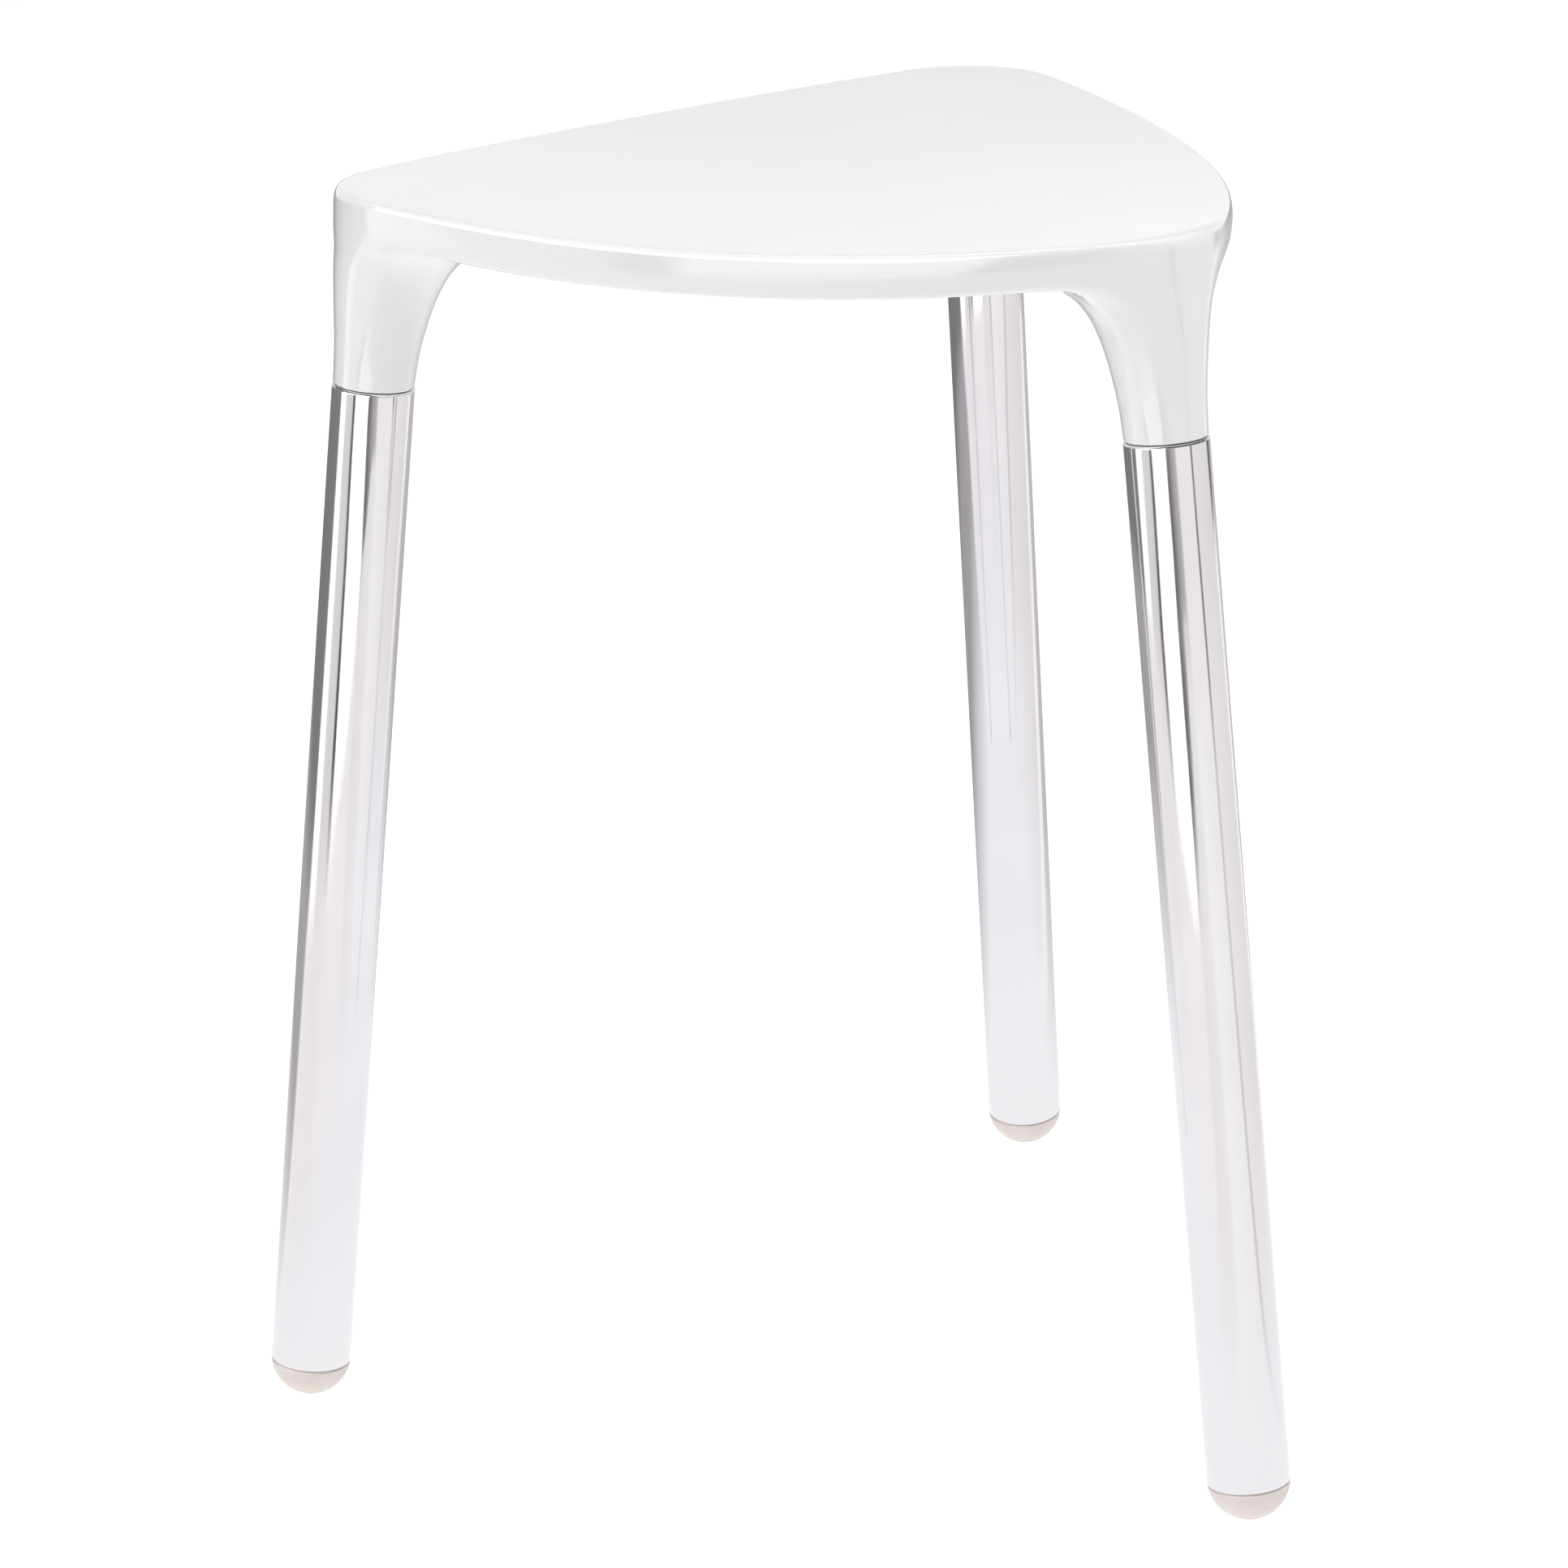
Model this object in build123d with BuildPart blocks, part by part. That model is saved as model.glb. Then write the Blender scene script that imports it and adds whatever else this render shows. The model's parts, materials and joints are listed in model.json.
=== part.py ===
"""Three-legged shower stool.

A moulded triangular seat stands on three splayed round legs.  Each corner of the seat runs
down into a round socket.  A brass insert in the socket takes a steel stud, the stud holds a
plastic plug, and the plug is pressed into the top of a plated tube.  A domed foot is pushed
into the bottom of each tube.

Frame: +Z up, floor at Z = 0, origin under the middle of the whole stool.  One straight edge of
the seat faces -Y and the back leg points to +Y.  Units are millimetres and degrees.
"""
import os
from math import atan2, cos, degrees, radians, sin, sqrt, tan

from build123d import *

# --- overall sizes ---------------------------------------------------------------------------
SEAT_HEIGHT = 435.0  # floor to the crest of the three corners
CORNER_REACH = 171.2  # seat axis to the tip of a corner, in plan
FOOT_REACH = 199.1  # seat axis to the middle of a foot, in plan

# --- seat ------------------------------------------------------------------------------------
CORNER_RADIUS = 43.0  # plan radius of a corner
SIDE_CROWN = 20.3  # how far a side bows out beyond a straight line between the corners
RIM_DIP = 5.4  # the middle of a side lies this far below the corners
DISH_DEPTH = 7.9  # the middle of the seat lies this far below the corners
SKIRT_HEIGHT = 14.4  # depth of the rim's upright face
SKIRT_DRAFT = 3.0  # the upright face leans inward on its way down
SKIRT_WALL = 4.0
TOP_WALL = 4.5
TOP_EDGE_RADIUS = 2.4
BOTTOM_EDGE_RADIUS = 1.6
RIB_THICKNESS = 2.4
RIB_PITCH = 36.0
RIB_SETBACK = 2.0  # the ribs end this far above the skirt's lower edge

# --- sockets ---------------------------------------------------------------------------------
JOINT_DROP = 68.7  # crest of the seat to the top of a tube
TUBE_PROUD = 3.0  # the tube stands this far outside the corner, in plan
COLLAR_STEP = 0.15  # the collar's radius is this much less than the tube's
SOCKET_GROWTH = [  # height above the joint, growth outward, growth inward
    (12.0, 0.2, 0.9),
    (20.0, 0.6, 2.7),
    (28.0, 1.0, 4.9),
    (36.0, 1.5, 8.3),
    (42.0, 1.7, 13.0),
    (47.0, 1.9, 20.0),
    (51.0, 2.0, 30.0),
]

# --- legs ------------------------------------------------------------------------------------
TUBE_DIAMETER = 28.0
TUBE_WALL = 1.5
TUBE_TOP_CHAMFER = 0.7
TUBE_BOTTOM_CHAMFER = 0.3

# --- fixings inside each joint ---------------------------------------------------------------
STUD_DIAMETER = 8.0
STUD_CHAMFER = 0.8
STUD_IN_PLUG = 24.0
STUD_IN_INSERT = 18.0
INSERT_DIAMETER = 12.0
INSERT_LENGTH = 20.0
INSERT_GROOVE_WIDTH = 3.0
INSERT_GROOVE_DEPTH = 0.6
PLUG_LENGTH = 30.0
PLUG_FLANGE_THICKNESS = 0.4
PLUG_FLANGE_SETBACK = 0.7  # the flange's rim lies this far inside the tube's outside
SPIGOT_DIAMETER = 18.0
SPIGOT_HEIGHT = 4.0
SPIGOT_CLEARANCE = 0.15

# --- feet ------------------------------------------------------------------------------------
FOOT_DOME_HEIGHT = 12.6
FOOT_FLAT_DEPTH = 0.3  # the dome is flattened by this much where it meets the floor
FOOT_NECK_HEIGHT = 0.4
FOOT_NECK_DEPTH = 0.6
FOOT_STEM_LENGTH = 20.0
FOOT_STEM_GAP = 0.8  # the stem is this much slimmer than the tube's bore, in radius
FOOT_RING_COUNT = 3
FOOT_RING_HEIGHT = 2.5
FOOT_RING_PITCH = 6.0
FOOT_RING_START = 3.0
FOOT_CORE_DIAMETER = 14.0
FOOT_CORE_DEPTH = 22.0

LEGS = {"front_left": 210.0, "front_right": 330.0, "back": 90.0}

# --- sizes that follow from the ones above ---------------------------------------------------
tube_radius = TUBE_DIAMETER / 2
bore_radius = tube_radius - TUBE_WALL
collar_radius = tube_radius - COLLAR_STEP
straight_side_reach = (CORNER_REACH - CORNER_RADIUS) / 2 + CORNER_RADIUS
side_reach = straight_side_reach + SIDE_CROWN
front_reach = max(side_reach, FOOT_REACH / 2 + tube_radius)
back_reach = max(CORNER_REACH, FOOT_REACH + tube_radius)
axis_y = (front_reach - back_reach) / 2  # puts the middle of the stool's box at the origin
joint_reach = CORNER_REACH + TUBE_PROUD - tube_radius
joint_height = SEAT_HEIGHT - JOINT_DROP
dome_radius = (tube_radius**2 + FOOT_DOME_HEIGHT**2) / (2 * FOOT_DOME_HEIGHT)
dome_centre_height = dome_radius - FOOT_FLAT_DEPTH
run_out = FOOT_REACH - joint_reach
run_down = joint_height - dome_centre_height
splay = degrees(atan2(run_out, run_down))
dome_centre_to_tube = dome_radius - FOOT_DOME_HEIGHT - FOOT_NECK_HEIGHT
tube_length = sqrt(run_out**2 + run_down**2) + dome_centre_to_tube
seat_plane = Plane(origin=(0, axis_y, 0))


def leg_point(azimuth, reach, height):
    """A point at a plan distance from the seat axis, on the side where a leg stands."""
    return Vector(reach * cos(radians(azimuth)), axis_y + reach * sin(radians(azimuth)), height)


def leg_down(azimuth):
    """The direction from a leg's joint to its foot."""
    lean = radians(splay)
    turn = radians(azimuth)
    return Vector(sin(lean) * cos(turn), sin(lean) * sin(turn), -cos(lean))


def leg_section_plane(azimuth):
    """A plane through a leg's axis: X is the radius and Y runs down the leg from the joint."""
    across = Vector(-sin(radians(azimuth)), cos(radians(azimuth)), 0)
    return Plane(
        origin=leg_point(azimuth, joint_reach, joint_height),
        x_dir=across,
        z_dir=across.cross(leg_down(azimuth)),
    )


def leg_axis(azimuth):
    return Axis(leg_point(azimuth, joint_reach, joint_height), leg_down(azimuth))


def seat_surface(drop):
    """The seat's saddle-shaped top, lowered by drop.

    Height is base + bowl (x2 + y2) + twist (y3 - 3 x2 y) about the seat axis, which lifts the
    three corners and lowers the sides.  A bicubic Bezier patch holds it exactly.
    """
    rise_to_side = DISH_DEPTH - RIM_DIP
    pull = CORNER_REACH**3 / side_reach**3
    bowl = (DISH_DEPTH + pull * rise_to_side) / (CORNER_REACH**2 + pull * side_reach**2)
    twist = (DISH_DEPTH - bowl * CORNER_REACH**2) / CORNER_REACH**3
    half = CORNER_REACH + CORNER_RADIUS
    line = [-half, -half / 3, half / 3, half]
    square = [half**2, -(half**2) / 3, -(half**2) / 3, half**2]
    cube = [-(half**3), half**3, -(half**3), half**3]
    base = SEAT_HEIGHT - DISH_DEPTH - drop
    net = []
    for x, xx in zip(line, square):
        row = []
        for y, yy, yyy in zip(line, square, cube):
            height = base + bowl * (xx + yy) + twist * (yyy - 3 * xx * y)
            row.append((x, axis_y + y, height))
        net.append(row)
    return Face.make_bezier_surface(net)


def seat_layer(upper_drop, lower_drop):
    """All that lies between two lowered copies of the seat's top surface."""
    return extrude(seat_surface(upper_drop), lower_drop - upper_drop, dir=(0, 0, -1), mode=Mode.PRIVATE)


# The seat's plan is three corner arcs joined by three long side arcs, all tangent.
corner_centre = CORNER_REACH - CORNER_RADIUS
side_inner = side_reach - CORNER_RADIUS
side_centre = (corner_centre**2 - side_inner**2) / (2 * side_inner - corner_centre)
side_radius = side_centre + side_reach
half_side = degrees(atan2(corner_centre * sin(radians(60)), side_centre + corner_centre * cos(radians(60))))
half_corner = 60 - half_side
with BuildSketch(seat_plane.offset(SEAT_HEIGHT)) as outline:
    with BuildLine():
        for azimuth in LEGS.values():
            corner = Vector(corner_centre, 0).rotate(Axis.Z, azimuth)
            CenterArc(corner, CORNER_RADIUS, azimuth - half_corner, 2 * half_corner)
            far_side = Vector(side_centre, 0).rotate(Axis.Z, azimuth + 240)
            CenterArc(far_side, side_radius, azimuth + half_corner, 2 * half_side)
    make_face()

# The rim and the top as one thick plate, with its long edges rounded.
with BuildPart() as plate:
    add(outline.sketch)
    extrude(amount=-(SKIRT_HEIGHT + DISH_DEPTH), taper=SKIRT_DRAFT)
    add(seat_layer(0, SKIRT_HEIGHT), mode=Mode.INTERSECT)
    broad_faces = plate.faces().sort_by(SortBy.AREA)[-2:].sort_by(Axis.Z)
    fillet(broad_faces[-1].edges(), TOP_EDGE_RADIUS)
    broad_faces = plate.faces().sort_by(SortBy.AREA)[-2:].sort_by(Axis.Z)
    fillet(broad_faces[0].edges(), BOTTOM_EDGE_RADIUS)

# The hollow under the top, inside the skirt.
with BuildPart() as hollow:
    with BuildSketch(seat_plane.offset(SEAT_HEIGHT)):
        add(outline.sketch_local)
        offset(amount=-SKIRT_WALL, kind=Kind.INTERSECTION)
    extrude(amount=-(SKIRT_HEIGHT + DISH_DEPTH + TOP_WALL), taper=SKIRT_DRAFT)
    add(seat_layer(TOP_WALL, SKIRT_HEIGHT + TOP_WALL), mode=Mode.INTERSECT)

# Ribs in three directions, so that they form triangles.
rib_count = 2 * int(CORNER_REACH / RIB_PITCH) + 1
with BuildPart() as ribs:
    with BuildSketch(seat_plane.offset(SEAT_HEIGHT)):
        for heading in (0, 60, 120):
            with Locations(Location((0, 0, 0), (0, 0, heading))):
                with GridLocations(RIB_PITCH, 0, rib_count, 1):
                    Rectangle(RIB_THICKNESS, 2 * CORNER_REACH + SIDE_CROWN)
    extrude(amount=-(SKIRT_HEIGHT + DISH_DEPTH + TOP_WALL))
    add(seat_layer(TOP_WALL / 2, SKIRT_HEIGHT - RIB_SETBACK), mode=Mode.INTERSECT)
    add(hollow.part, mode=Mode.INTERSECT)


def socket_solid(azimuth):
    """One socket: round at the collar, and flaring inward as it rises into the seat."""
    outward = Vector(cos(radians(azimuth)), sin(radians(azimuth)), 0)
    up = -leg_down(azimuth)
    across = Vector(0, 0, 1).cross(outward)
    joint = leg_point(azimuth, joint_reach, joint_height)
    with BuildPart() as socket:
        with BuildSketch(Plane(joint, x_dir=across.cross(up), z_dir=up).offset(PLUG_FLANGE_THICKNESS)):
            Circle(collar_radius)
        for height, out_growth, in_growth in SOCKET_GROWTH:
            axis_reach = joint_reach - height * tan(radians(splay))
            centre = leg_point(azimuth, axis_reach + (out_growth - in_growth) / 2, joint_height + height)
            with BuildSketch(Plane(centre, x_dir=outward)):
                Circle(collar_radius + (out_growth + in_growth) / 2)
        loft()
        extrude(socket.faces().sort_by(Axis.Z)[-1], amount=JOINT_DROP - SOCKET_GROWTH[-1][0])
        add(seat_layer(TOP_WALL / 2, SEAT_HEIGHT / 2), mode=Mode.INTERSECT)
    return socket.part


# Seat: plate, ribs and sockets in one moulding, with a stepped bore up each socket.
insert_top = -PLUG_FLANGE_THICKNESS - SPIGOT_HEIGHT - SPIGOT_CLEARANCE - INSERT_LENGTH
insert_bottom = -PLUG_FLANGE_THICKNESS - SPIGOT_HEIGHT - SPIGOT_CLEARANCE
spigot_hole_radius = SPIGOT_DIAMETER / 2 + SPIGOT_CLEARANCE
insert_radius = INSERT_DIAMETER / 2
stud_radius = STUD_DIAMETER / 2
socket_bore = [
    (0, 0),
    (spigot_hole_radius, 0),
    (spigot_hole_radius, insert_bottom),
    (insert_radius, insert_bottom),
    (insert_radius, insert_top),
    (0, insert_top),
]
with BuildPart() as seat_shell:
    add(plate.part)
    add(hollow.part, mode=Mode.SUBTRACT)
    add(ribs.part)
    for azimuth in LEGS.values():
        add(socket_solid(azimuth))
    for azimuth in LEGS.values():
        with BuildSketch(leg_section_plane(azimuth)):
            Polygon(*socket_bore, align=None)
        revolve(axis=leg_axis(azimuth), mode=Mode.SUBTRACT)

# Insert: a brass sleeve with a grip groove, moulded into the socket.
groove_top = (insert_top + insert_bottom - INSERT_GROOVE_WIDTH) / 2
groove_bottom = groove_top + INSERT_GROOVE_WIDTH
insert_section = [
    (stud_radius, insert_bottom),
    (insert_radius, insert_bottom),
    (insert_radius, groove_bottom),
    (insert_radius - INSERT_GROOVE_DEPTH, groove_bottom),
    (insert_radius - INSERT_GROOVE_DEPTH, groove_top),
    (insert_radius, groove_top),
    (insert_radius, insert_top),
    (stud_radius, insert_top),
]

# Stud: a threaded rod at its nominal diameter, screwed up into the insert.
stud_top = insert_bottom - STUD_IN_INSERT
stud_bottom = STUD_IN_PLUG
stud_section = [
    (0, stud_top),
    (stud_radius - STUD_CHAMFER, stud_top),
    (stud_radius, stud_top + STUD_CHAMFER),
    (stud_radius, stud_bottom - STUD_CHAMFER),
    (stud_radius - STUD_CHAMFER, stud_bottom),
    (0, stud_bottom),
]

# Plug: fills the tube's top end, with a thin flange between the tube and the collar, and a
# spigot that centres the leg in its socket.
flange_radius = tube_radius - PLUG_FLANGE_SETBACK
spigot_radius = SPIGOT_DIAMETER / 2
spigot_top = -PLUG_FLANGE_THICKNESS - SPIGOT_HEIGHT
plug_section = [
    (stud_radius, spigot_top),
    (spigot_radius, spigot_top),
    (spigot_radius, -PLUG_FLANGE_THICKNESS),
    (flange_radius, -PLUG_FLANGE_THICKNESS),
    (flange_radius, 0),
    (bore_radius, 0),
    (bore_radius, PLUG_LENGTH),
    (0, PLUG_LENGTH),
    (0, STUD_IN_PLUG),
    (stud_radius, STUD_IN_PLUG),
]

# Tube: a plain round tube with a polished chamfer at its top.
tube_section = [
    (bore_radius, 0),
    (tube_radius - TUBE_TOP_CHAMFER, 0),
    (tube_radius, TUBE_TOP_CHAMFER),
    (tube_radius, tube_length - TUBE_BOTTOM_CHAMFER),
    (tube_radius - TUBE_BOTTOM_CHAMFER, tube_length),
    (bore_radius, tube_length),
]

# Foot: a domed pad below a short neck, on a hollow stem whose rings grip the tube's bore.
stem_radius = bore_radius - FOOT_STEM_GAP
stem_top = tube_length - FOOT_STEM_LENGTH
dome_edge = tube_length + FOOT_NECK_HEIGHT
dome_tip = dome_edge + FOOT_DOME_HEIGHT
core_radius = FOOT_CORE_DIAMETER / 2
core_floor = stem_top + FOOT_CORE_DEPTH
neck_radius = tube_radius - FOOT_NECK_DEPTH
stem_outline = [
    (0, core_floor),
    (core_radius, core_floor),
    (core_radius, stem_top),
    (stem_radius, stem_top),
    (stem_radius, tube_length),
    (neck_radius, tube_length),
    (neck_radius, dome_edge),
    (tube_radius, dome_edge),
]


def save(piece, name):
    """Label a finished piece and write its file."""
    piece.part.label = name
    export_step(piece.part, f"parts/{name}.step")
    print(f"{name}: {piece.part.volume / 1000:.2f} cm3")


os.makedirs("parts", exist_ok=True)
save(seat_shell, "seat_shell")
for leg, azimuth in LEGS.items():
    section_plane = leg_section_plane(azimuth)
    turning_axis = leg_axis(azimuth)

    with BuildPart() as socket_insert:
        with BuildSketch(section_plane):
            Polygon(*insert_section, align=None)
        revolve(axis=turning_axis)
    save(socket_insert, f"socket_insert_{leg}")

    with BuildPart() as leg_stud:
        with BuildSketch(section_plane):
            Polygon(*stud_section, align=None)
        revolve(axis=turning_axis)
    save(leg_stud, f"leg_stud_{leg}")

    with BuildPart() as leg_plug:
        with BuildSketch(section_plane):
            Polygon(*plug_section, align=None)
        revolve(axis=turning_axis)
    save(leg_plug, f"leg_plug_{leg}")

    with BuildPart() as leg_tube:
        with BuildSketch(section_plane):
            Polygon(*tube_section, align=None)
        revolve(axis=turning_axis)
    save(leg_tube, f"leg_tube_{leg}")

    with BuildPart() as foot:
        with BuildSketch(section_plane):
            with BuildLine():
                Polyline(*stem_outline)
                RadiusArc((tube_radius, dome_edge), (0, dome_tip), -dome_radius)
                Line((0, dome_tip), (0, core_floor))
            make_face()
            for ring in range(FOOT_RING_COUNT):
                ring_top = stem_top + FOOT_RING_START + ring * FOOT_RING_PITCH
                Polygon(
                    (core_radius, ring_top),
                    (stem_radius, ring_top),
                    (bore_radius, ring_top + FOOT_RING_HEIGHT / 2),
                    (stem_radius, ring_top + FOOT_RING_HEIGHT),
                    (core_radius, ring_top + FOOT_RING_HEIGHT),
                    align=None,
                )
        revolve(axis=turning_axis)
        split(bisect_by=Plane.XY, keep=Keep.TOP)
    save(foot, f"foot_{leg}")

print(f"splay {splay:.2f} degrees, tube length {tube_length:.1f} mm")
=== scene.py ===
# %% [markdown]
# # A shower stool: moulded seat, three plated legs, three rubber feet
#
# The stool is rigid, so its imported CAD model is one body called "root".  This lesson keeps that model
# as the frame and rebuilds what the eye sees in finer meshes: the seat as one subdivision cage, the
# ribs under it, the plated tubes and the domed feet.  The fixings inside the joints stay as they are
# and only get a finish.

# %% Load the frame
import json
import math

import bpy
from mathutils import Matrix, Vector


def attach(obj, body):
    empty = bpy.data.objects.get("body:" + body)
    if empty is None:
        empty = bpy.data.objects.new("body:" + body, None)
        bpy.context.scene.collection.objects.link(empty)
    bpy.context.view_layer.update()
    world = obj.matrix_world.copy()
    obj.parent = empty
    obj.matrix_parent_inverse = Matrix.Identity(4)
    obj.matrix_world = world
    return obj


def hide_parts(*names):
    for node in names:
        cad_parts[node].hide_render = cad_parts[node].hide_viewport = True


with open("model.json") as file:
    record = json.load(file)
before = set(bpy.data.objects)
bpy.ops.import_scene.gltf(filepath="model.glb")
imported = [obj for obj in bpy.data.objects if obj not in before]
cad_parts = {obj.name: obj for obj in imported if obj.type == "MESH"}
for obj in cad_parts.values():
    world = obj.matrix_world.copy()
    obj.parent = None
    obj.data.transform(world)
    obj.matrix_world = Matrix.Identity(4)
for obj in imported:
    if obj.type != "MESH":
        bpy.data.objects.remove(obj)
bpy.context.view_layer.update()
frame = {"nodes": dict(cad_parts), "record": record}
mm = 0.001

# %% [markdown]
# Everything is placed from a few driving sizes.  The three floor mounts of the record are the points
# where the feet stand, so their mean is the stool's three-fold axis.  Each leg runs from its joint under
# a corner of the seat to the centre of its foot's dome.

# %% Driving sizes and the three legs
floor_points = {m["name"]: Vector(m["pos_m"]) for m in frame["record"]["mounts"]}
LEG_TURNS = {"back": 90.0, "front_left": 210.0, "front_right": 330.0}
LEG_ORDER = tuple(LEG_TURNS)  # the order in which the seat's corners are counted
AXIS = sum((floor_points[f"floor_{leg}"] for leg in LEG_ORDER), Vector()) / 3
FOOT_REACH = (floor_points["floor_back"] - AXIS).length

SEAT_HEIGHT = 435.0 * mm
CORNER_REACH = 171.2 * mm
CORNER_RADIUS = 43.0 * mm
SIDE_REACH = 127.4 * mm
RIM_DIP = 5.4 * mm
DISH_DEPTH = 7.9 * mm
SKIRT_HEIGHT = 14.4 * mm
TOP_WALL = 4.5 * mm

TUBE_RADIUS = 14.0 * mm
BORE_RADIUS = 12.5 * mm
COLLAR_RADIUS = 13.85 * mm
FLANGE_GAP = 0.4 * mm
DOME_HEIGHT = 12.6 * mm
FOOT_FLAT = 0.3 * mm
JOINT_REACH = CORNER_REACH + 3.0 * mm - TUBE_RADIUS
JOINT_HEIGHT = SEAT_HEIGHT - 68.7 * mm
DOME_RADIUS = (TUBE_RADIUS**2 + DOME_HEIGHT**2) / (2 * DOME_HEIGHT)
SPLAY = math.atan2(FOOT_REACH - JOINT_REACH, JOINT_HEIGHT - (DOME_RADIUS - FOOT_FLAT))


def outward(turn):
    """The level direction from the axis to a leg."""
    return Vector((math.cos(math.radians(turn)), math.sin(math.radians(turn)), 0))


def leg_frame(turn):
    """Joint point, direction up the leg, direction outward and direction across, for one leg."""
    out = outward(turn)
    up = Vector((0, 0, 1)) * math.cos(SPLAY) - out * math.sin(SPLAY)
    across = Vector((0, 0, 1)).cross(out)
    joint = AXIS + out * JOINT_REACH + Vector((0, 0, JOINT_HEIGHT))
    return joint, up, across.cross(up), across


print("splay", round(math.degrees(SPLAY), 2), "degrees, axis at y =", round(AXIS.y / mm, 2), "mm")

# %% [markdown]
# The helpers below do what hands do in Blender's window: deselect everything, enter edit mode on one
# object, and come back.  An operator acts on all that is selected, so each step starts clean.

# %% Editing helpers


def only(obj):
    """Make one object the only selected and active one."""
    bpy.ops.object.select_all(action="DESELECT")
    obj.select_set(True)
    bpy.context.view_layer.objects.active = obj


def edit(obj):
    only(obj)
    bpy.ops.object.mode_set(mode="EDIT")


def leave():
    bpy.ops.object.mode_set(mode="OBJECT")


def name_it(obj, name):
    obj.name = name
    obj.data.name = name
    return obj


def apply_modifier(obj, kind, **settings):
    """Add a modifier, set it and apply it."""
    only(obj)
    modifier = obj.modifiers.new(kind.lower(), kind)
    for key, value in settings.items():
        setattr(modifier, key, value)
    bpy.ops.object.modifier_apply(modifier=modifier.name)


def settle(obj):
    """Put an object's place into its mesh, so that the object sits at the origin."""
    only(obj)
    bpy.ops.object.transform_apply(location=True, rotation=True, scale=True)


def face_out(obj):
    """Turn all faces outward."""
    edit(obj)
    bpy.ops.mesh.select_all(action="SELECT")
    bpy.ops.mesh.normals_make_consistent(inside=False)
    leave()


def smooth(obj, degrees):
    """Shade smooth, except where two faces meet at more than this angle."""
    only(obj)
    bpy.ops.object.shade_smooth_by_angle(angle=math.radians(degrees))


def belongs(obj, slot, *nodes):
    """Parent a finished piece to the stool's one body, and hide the CAD nodes it replaces."""
    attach(obj, "root")
    for node in nodes:
        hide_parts(node)


print("editing helpers are ready")

# %% [markdown]
# ## The seat's outline and its dished top
#
# The outline is a rounded triangle: three corner arcs joined by three long side arcs, all tangent.  A
# point on it is found by how far along it lies from a corner's tip, counted in slots: slot 0 is the tip,
# slots 1 to 6 go round the corner, and slots 7 to 12 go along to the middle of the side.  The corner
# slots are close together, because the socket grows out of them.
#
# The top is a monkey saddle: a bowl plus a three-fold wave that lifts the corners and lowers the sides.

# %% Outline and saddle
CORNER_SLOTS = 6
HALF_SLOTS = 12
SLOTS = 6 * HALF_SLOTS
CORNER_SHARE = 0.25  # share of the way from a tip to the middle of a side that the corner slots take


def outline_point(slot, reach, radius, side):
    """A point of the rounded triangle with this tip reach, corner radius and side reach."""
    third = round(slot / (2 * HALF_SLOTS))
    step = slot - third * 2 * HALF_SLOTS
    count = abs(step)
    if count <= CORNER_SLOTS:
        share = CORNER_SHARE * count / CORNER_SLOTS
    else:
        share = CORNER_SHARE + (1 - CORNER_SHARE) * (count - CORNER_SLOTS) / (HALF_SLOTS - CORNER_SLOTS)
    centre = reach - radius
    inner = side - radius
    far = (centre**2 - inner**2) / (2 * inner - centre)
    half_side = math.atan2(centre * math.sin(math.pi / 3), far + centre * math.cos(math.pi / 3))
    half_corner = math.pi / 3 - half_side
    along = share * (radius * half_corner + (far + side) * half_side)
    if along < radius * half_corner:
        turn = along / radius
        point = Vector((centre + radius * math.cos(turn), radius * math.sin(turn), 0))
    else:
        turn = half_corner + (along - radius * half_corner) / (far + side)
        middle = Vector((math.cos(math.pi / 3), math.sin(math.pi / 3), 0)) * -far
        point = middle + Vector((math.cos(turn), math.sin(turn), 0)) * (far + side)
    if step < 0:
        point.y = -point.y
    point.rotate(Matrix.Rotation(math.radians(90 + 120 * third), 3, "Z"))
    return point


pull = (CORNER_REACH / SIDE_REACH) ** 3
BOWL = (DISH_DEPTH + pull * (DISH_DEPTH - RIM_DIP)) / (CORNER_REACH**2 + pull * SIDE_REACH**2)
TWIST = (DISH_DEPTH - BOWL * CORNER_REACH**2) / CORNER_REACH**3


def saddle(point):
    """Height of the dished top above a point given from the seat's axis."""
    x, y = point.x, point.y
    return SEAT_HEIGHT - DISH_DEPTH + BOWL * (x * x + y * y) + TWIST * (y**3 - 3 * x * x * y)


tip = outline_point(0, CORNER_REACH, CORNER_RADIUS, SIDE_REACH)
middle = outline_point(HALF_SLOTS, CORNER_REACH, CORNER_RADIUS, SIDE_REACH)
print("top height in mm:", round(saddle(tip) / mm, 1), "at a tip,", round(saddle(middle) / mm, 1), "mid-side")

# %% [markdown]
# ## The seat as one subdivision cage
#
# The real seat is one moulding, so it has to be one skin: top, rim, underside and three sockets with no
# seams.  A subdivision cage gives that.  It starts as a circle with one vertex in each slot.  The loop is
# extruded again and again, and after each extrude every new vertex is put where its slot says.  The slot
# number is a vertex attribute, which extrude copies to the new vertices.
#
# Two loops close together make a tight edge, and loops further apart a soft one.  So the rim is crisp
# along the sides, and its edge opens out where it rounds the tips.

# %% Rings from the top, over the rim and under the seat
EDGE = 2.6 * mm  # loop spacing at the crisp top edge
CREASE_INSET = 1.7 * mm  # the top edge lies this far inside the skirt's widest line
WIDEST_DROP = 6.0 * mm  # how far down that widest line is
TIP_EDGE = 8.0 * mm  # the same at the tips, where the edge is softer
TIP_FADE = 5  # slots over which the soft tip turns crisp
TIP_TUCK = 0.9 * mm  # the softened tips start a little inside the plain outline
DRAFT = 1.9 * mm  # how far the skirt leans in, top to bottom, along a side
LOWER_CORNER_RADIUS = 32.0 * mm  # the corners get tighter on their way down
BOTTOM_EDGE = 4.6 * mm  # loop spacing at the skirt's rounded lower edge
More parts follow.
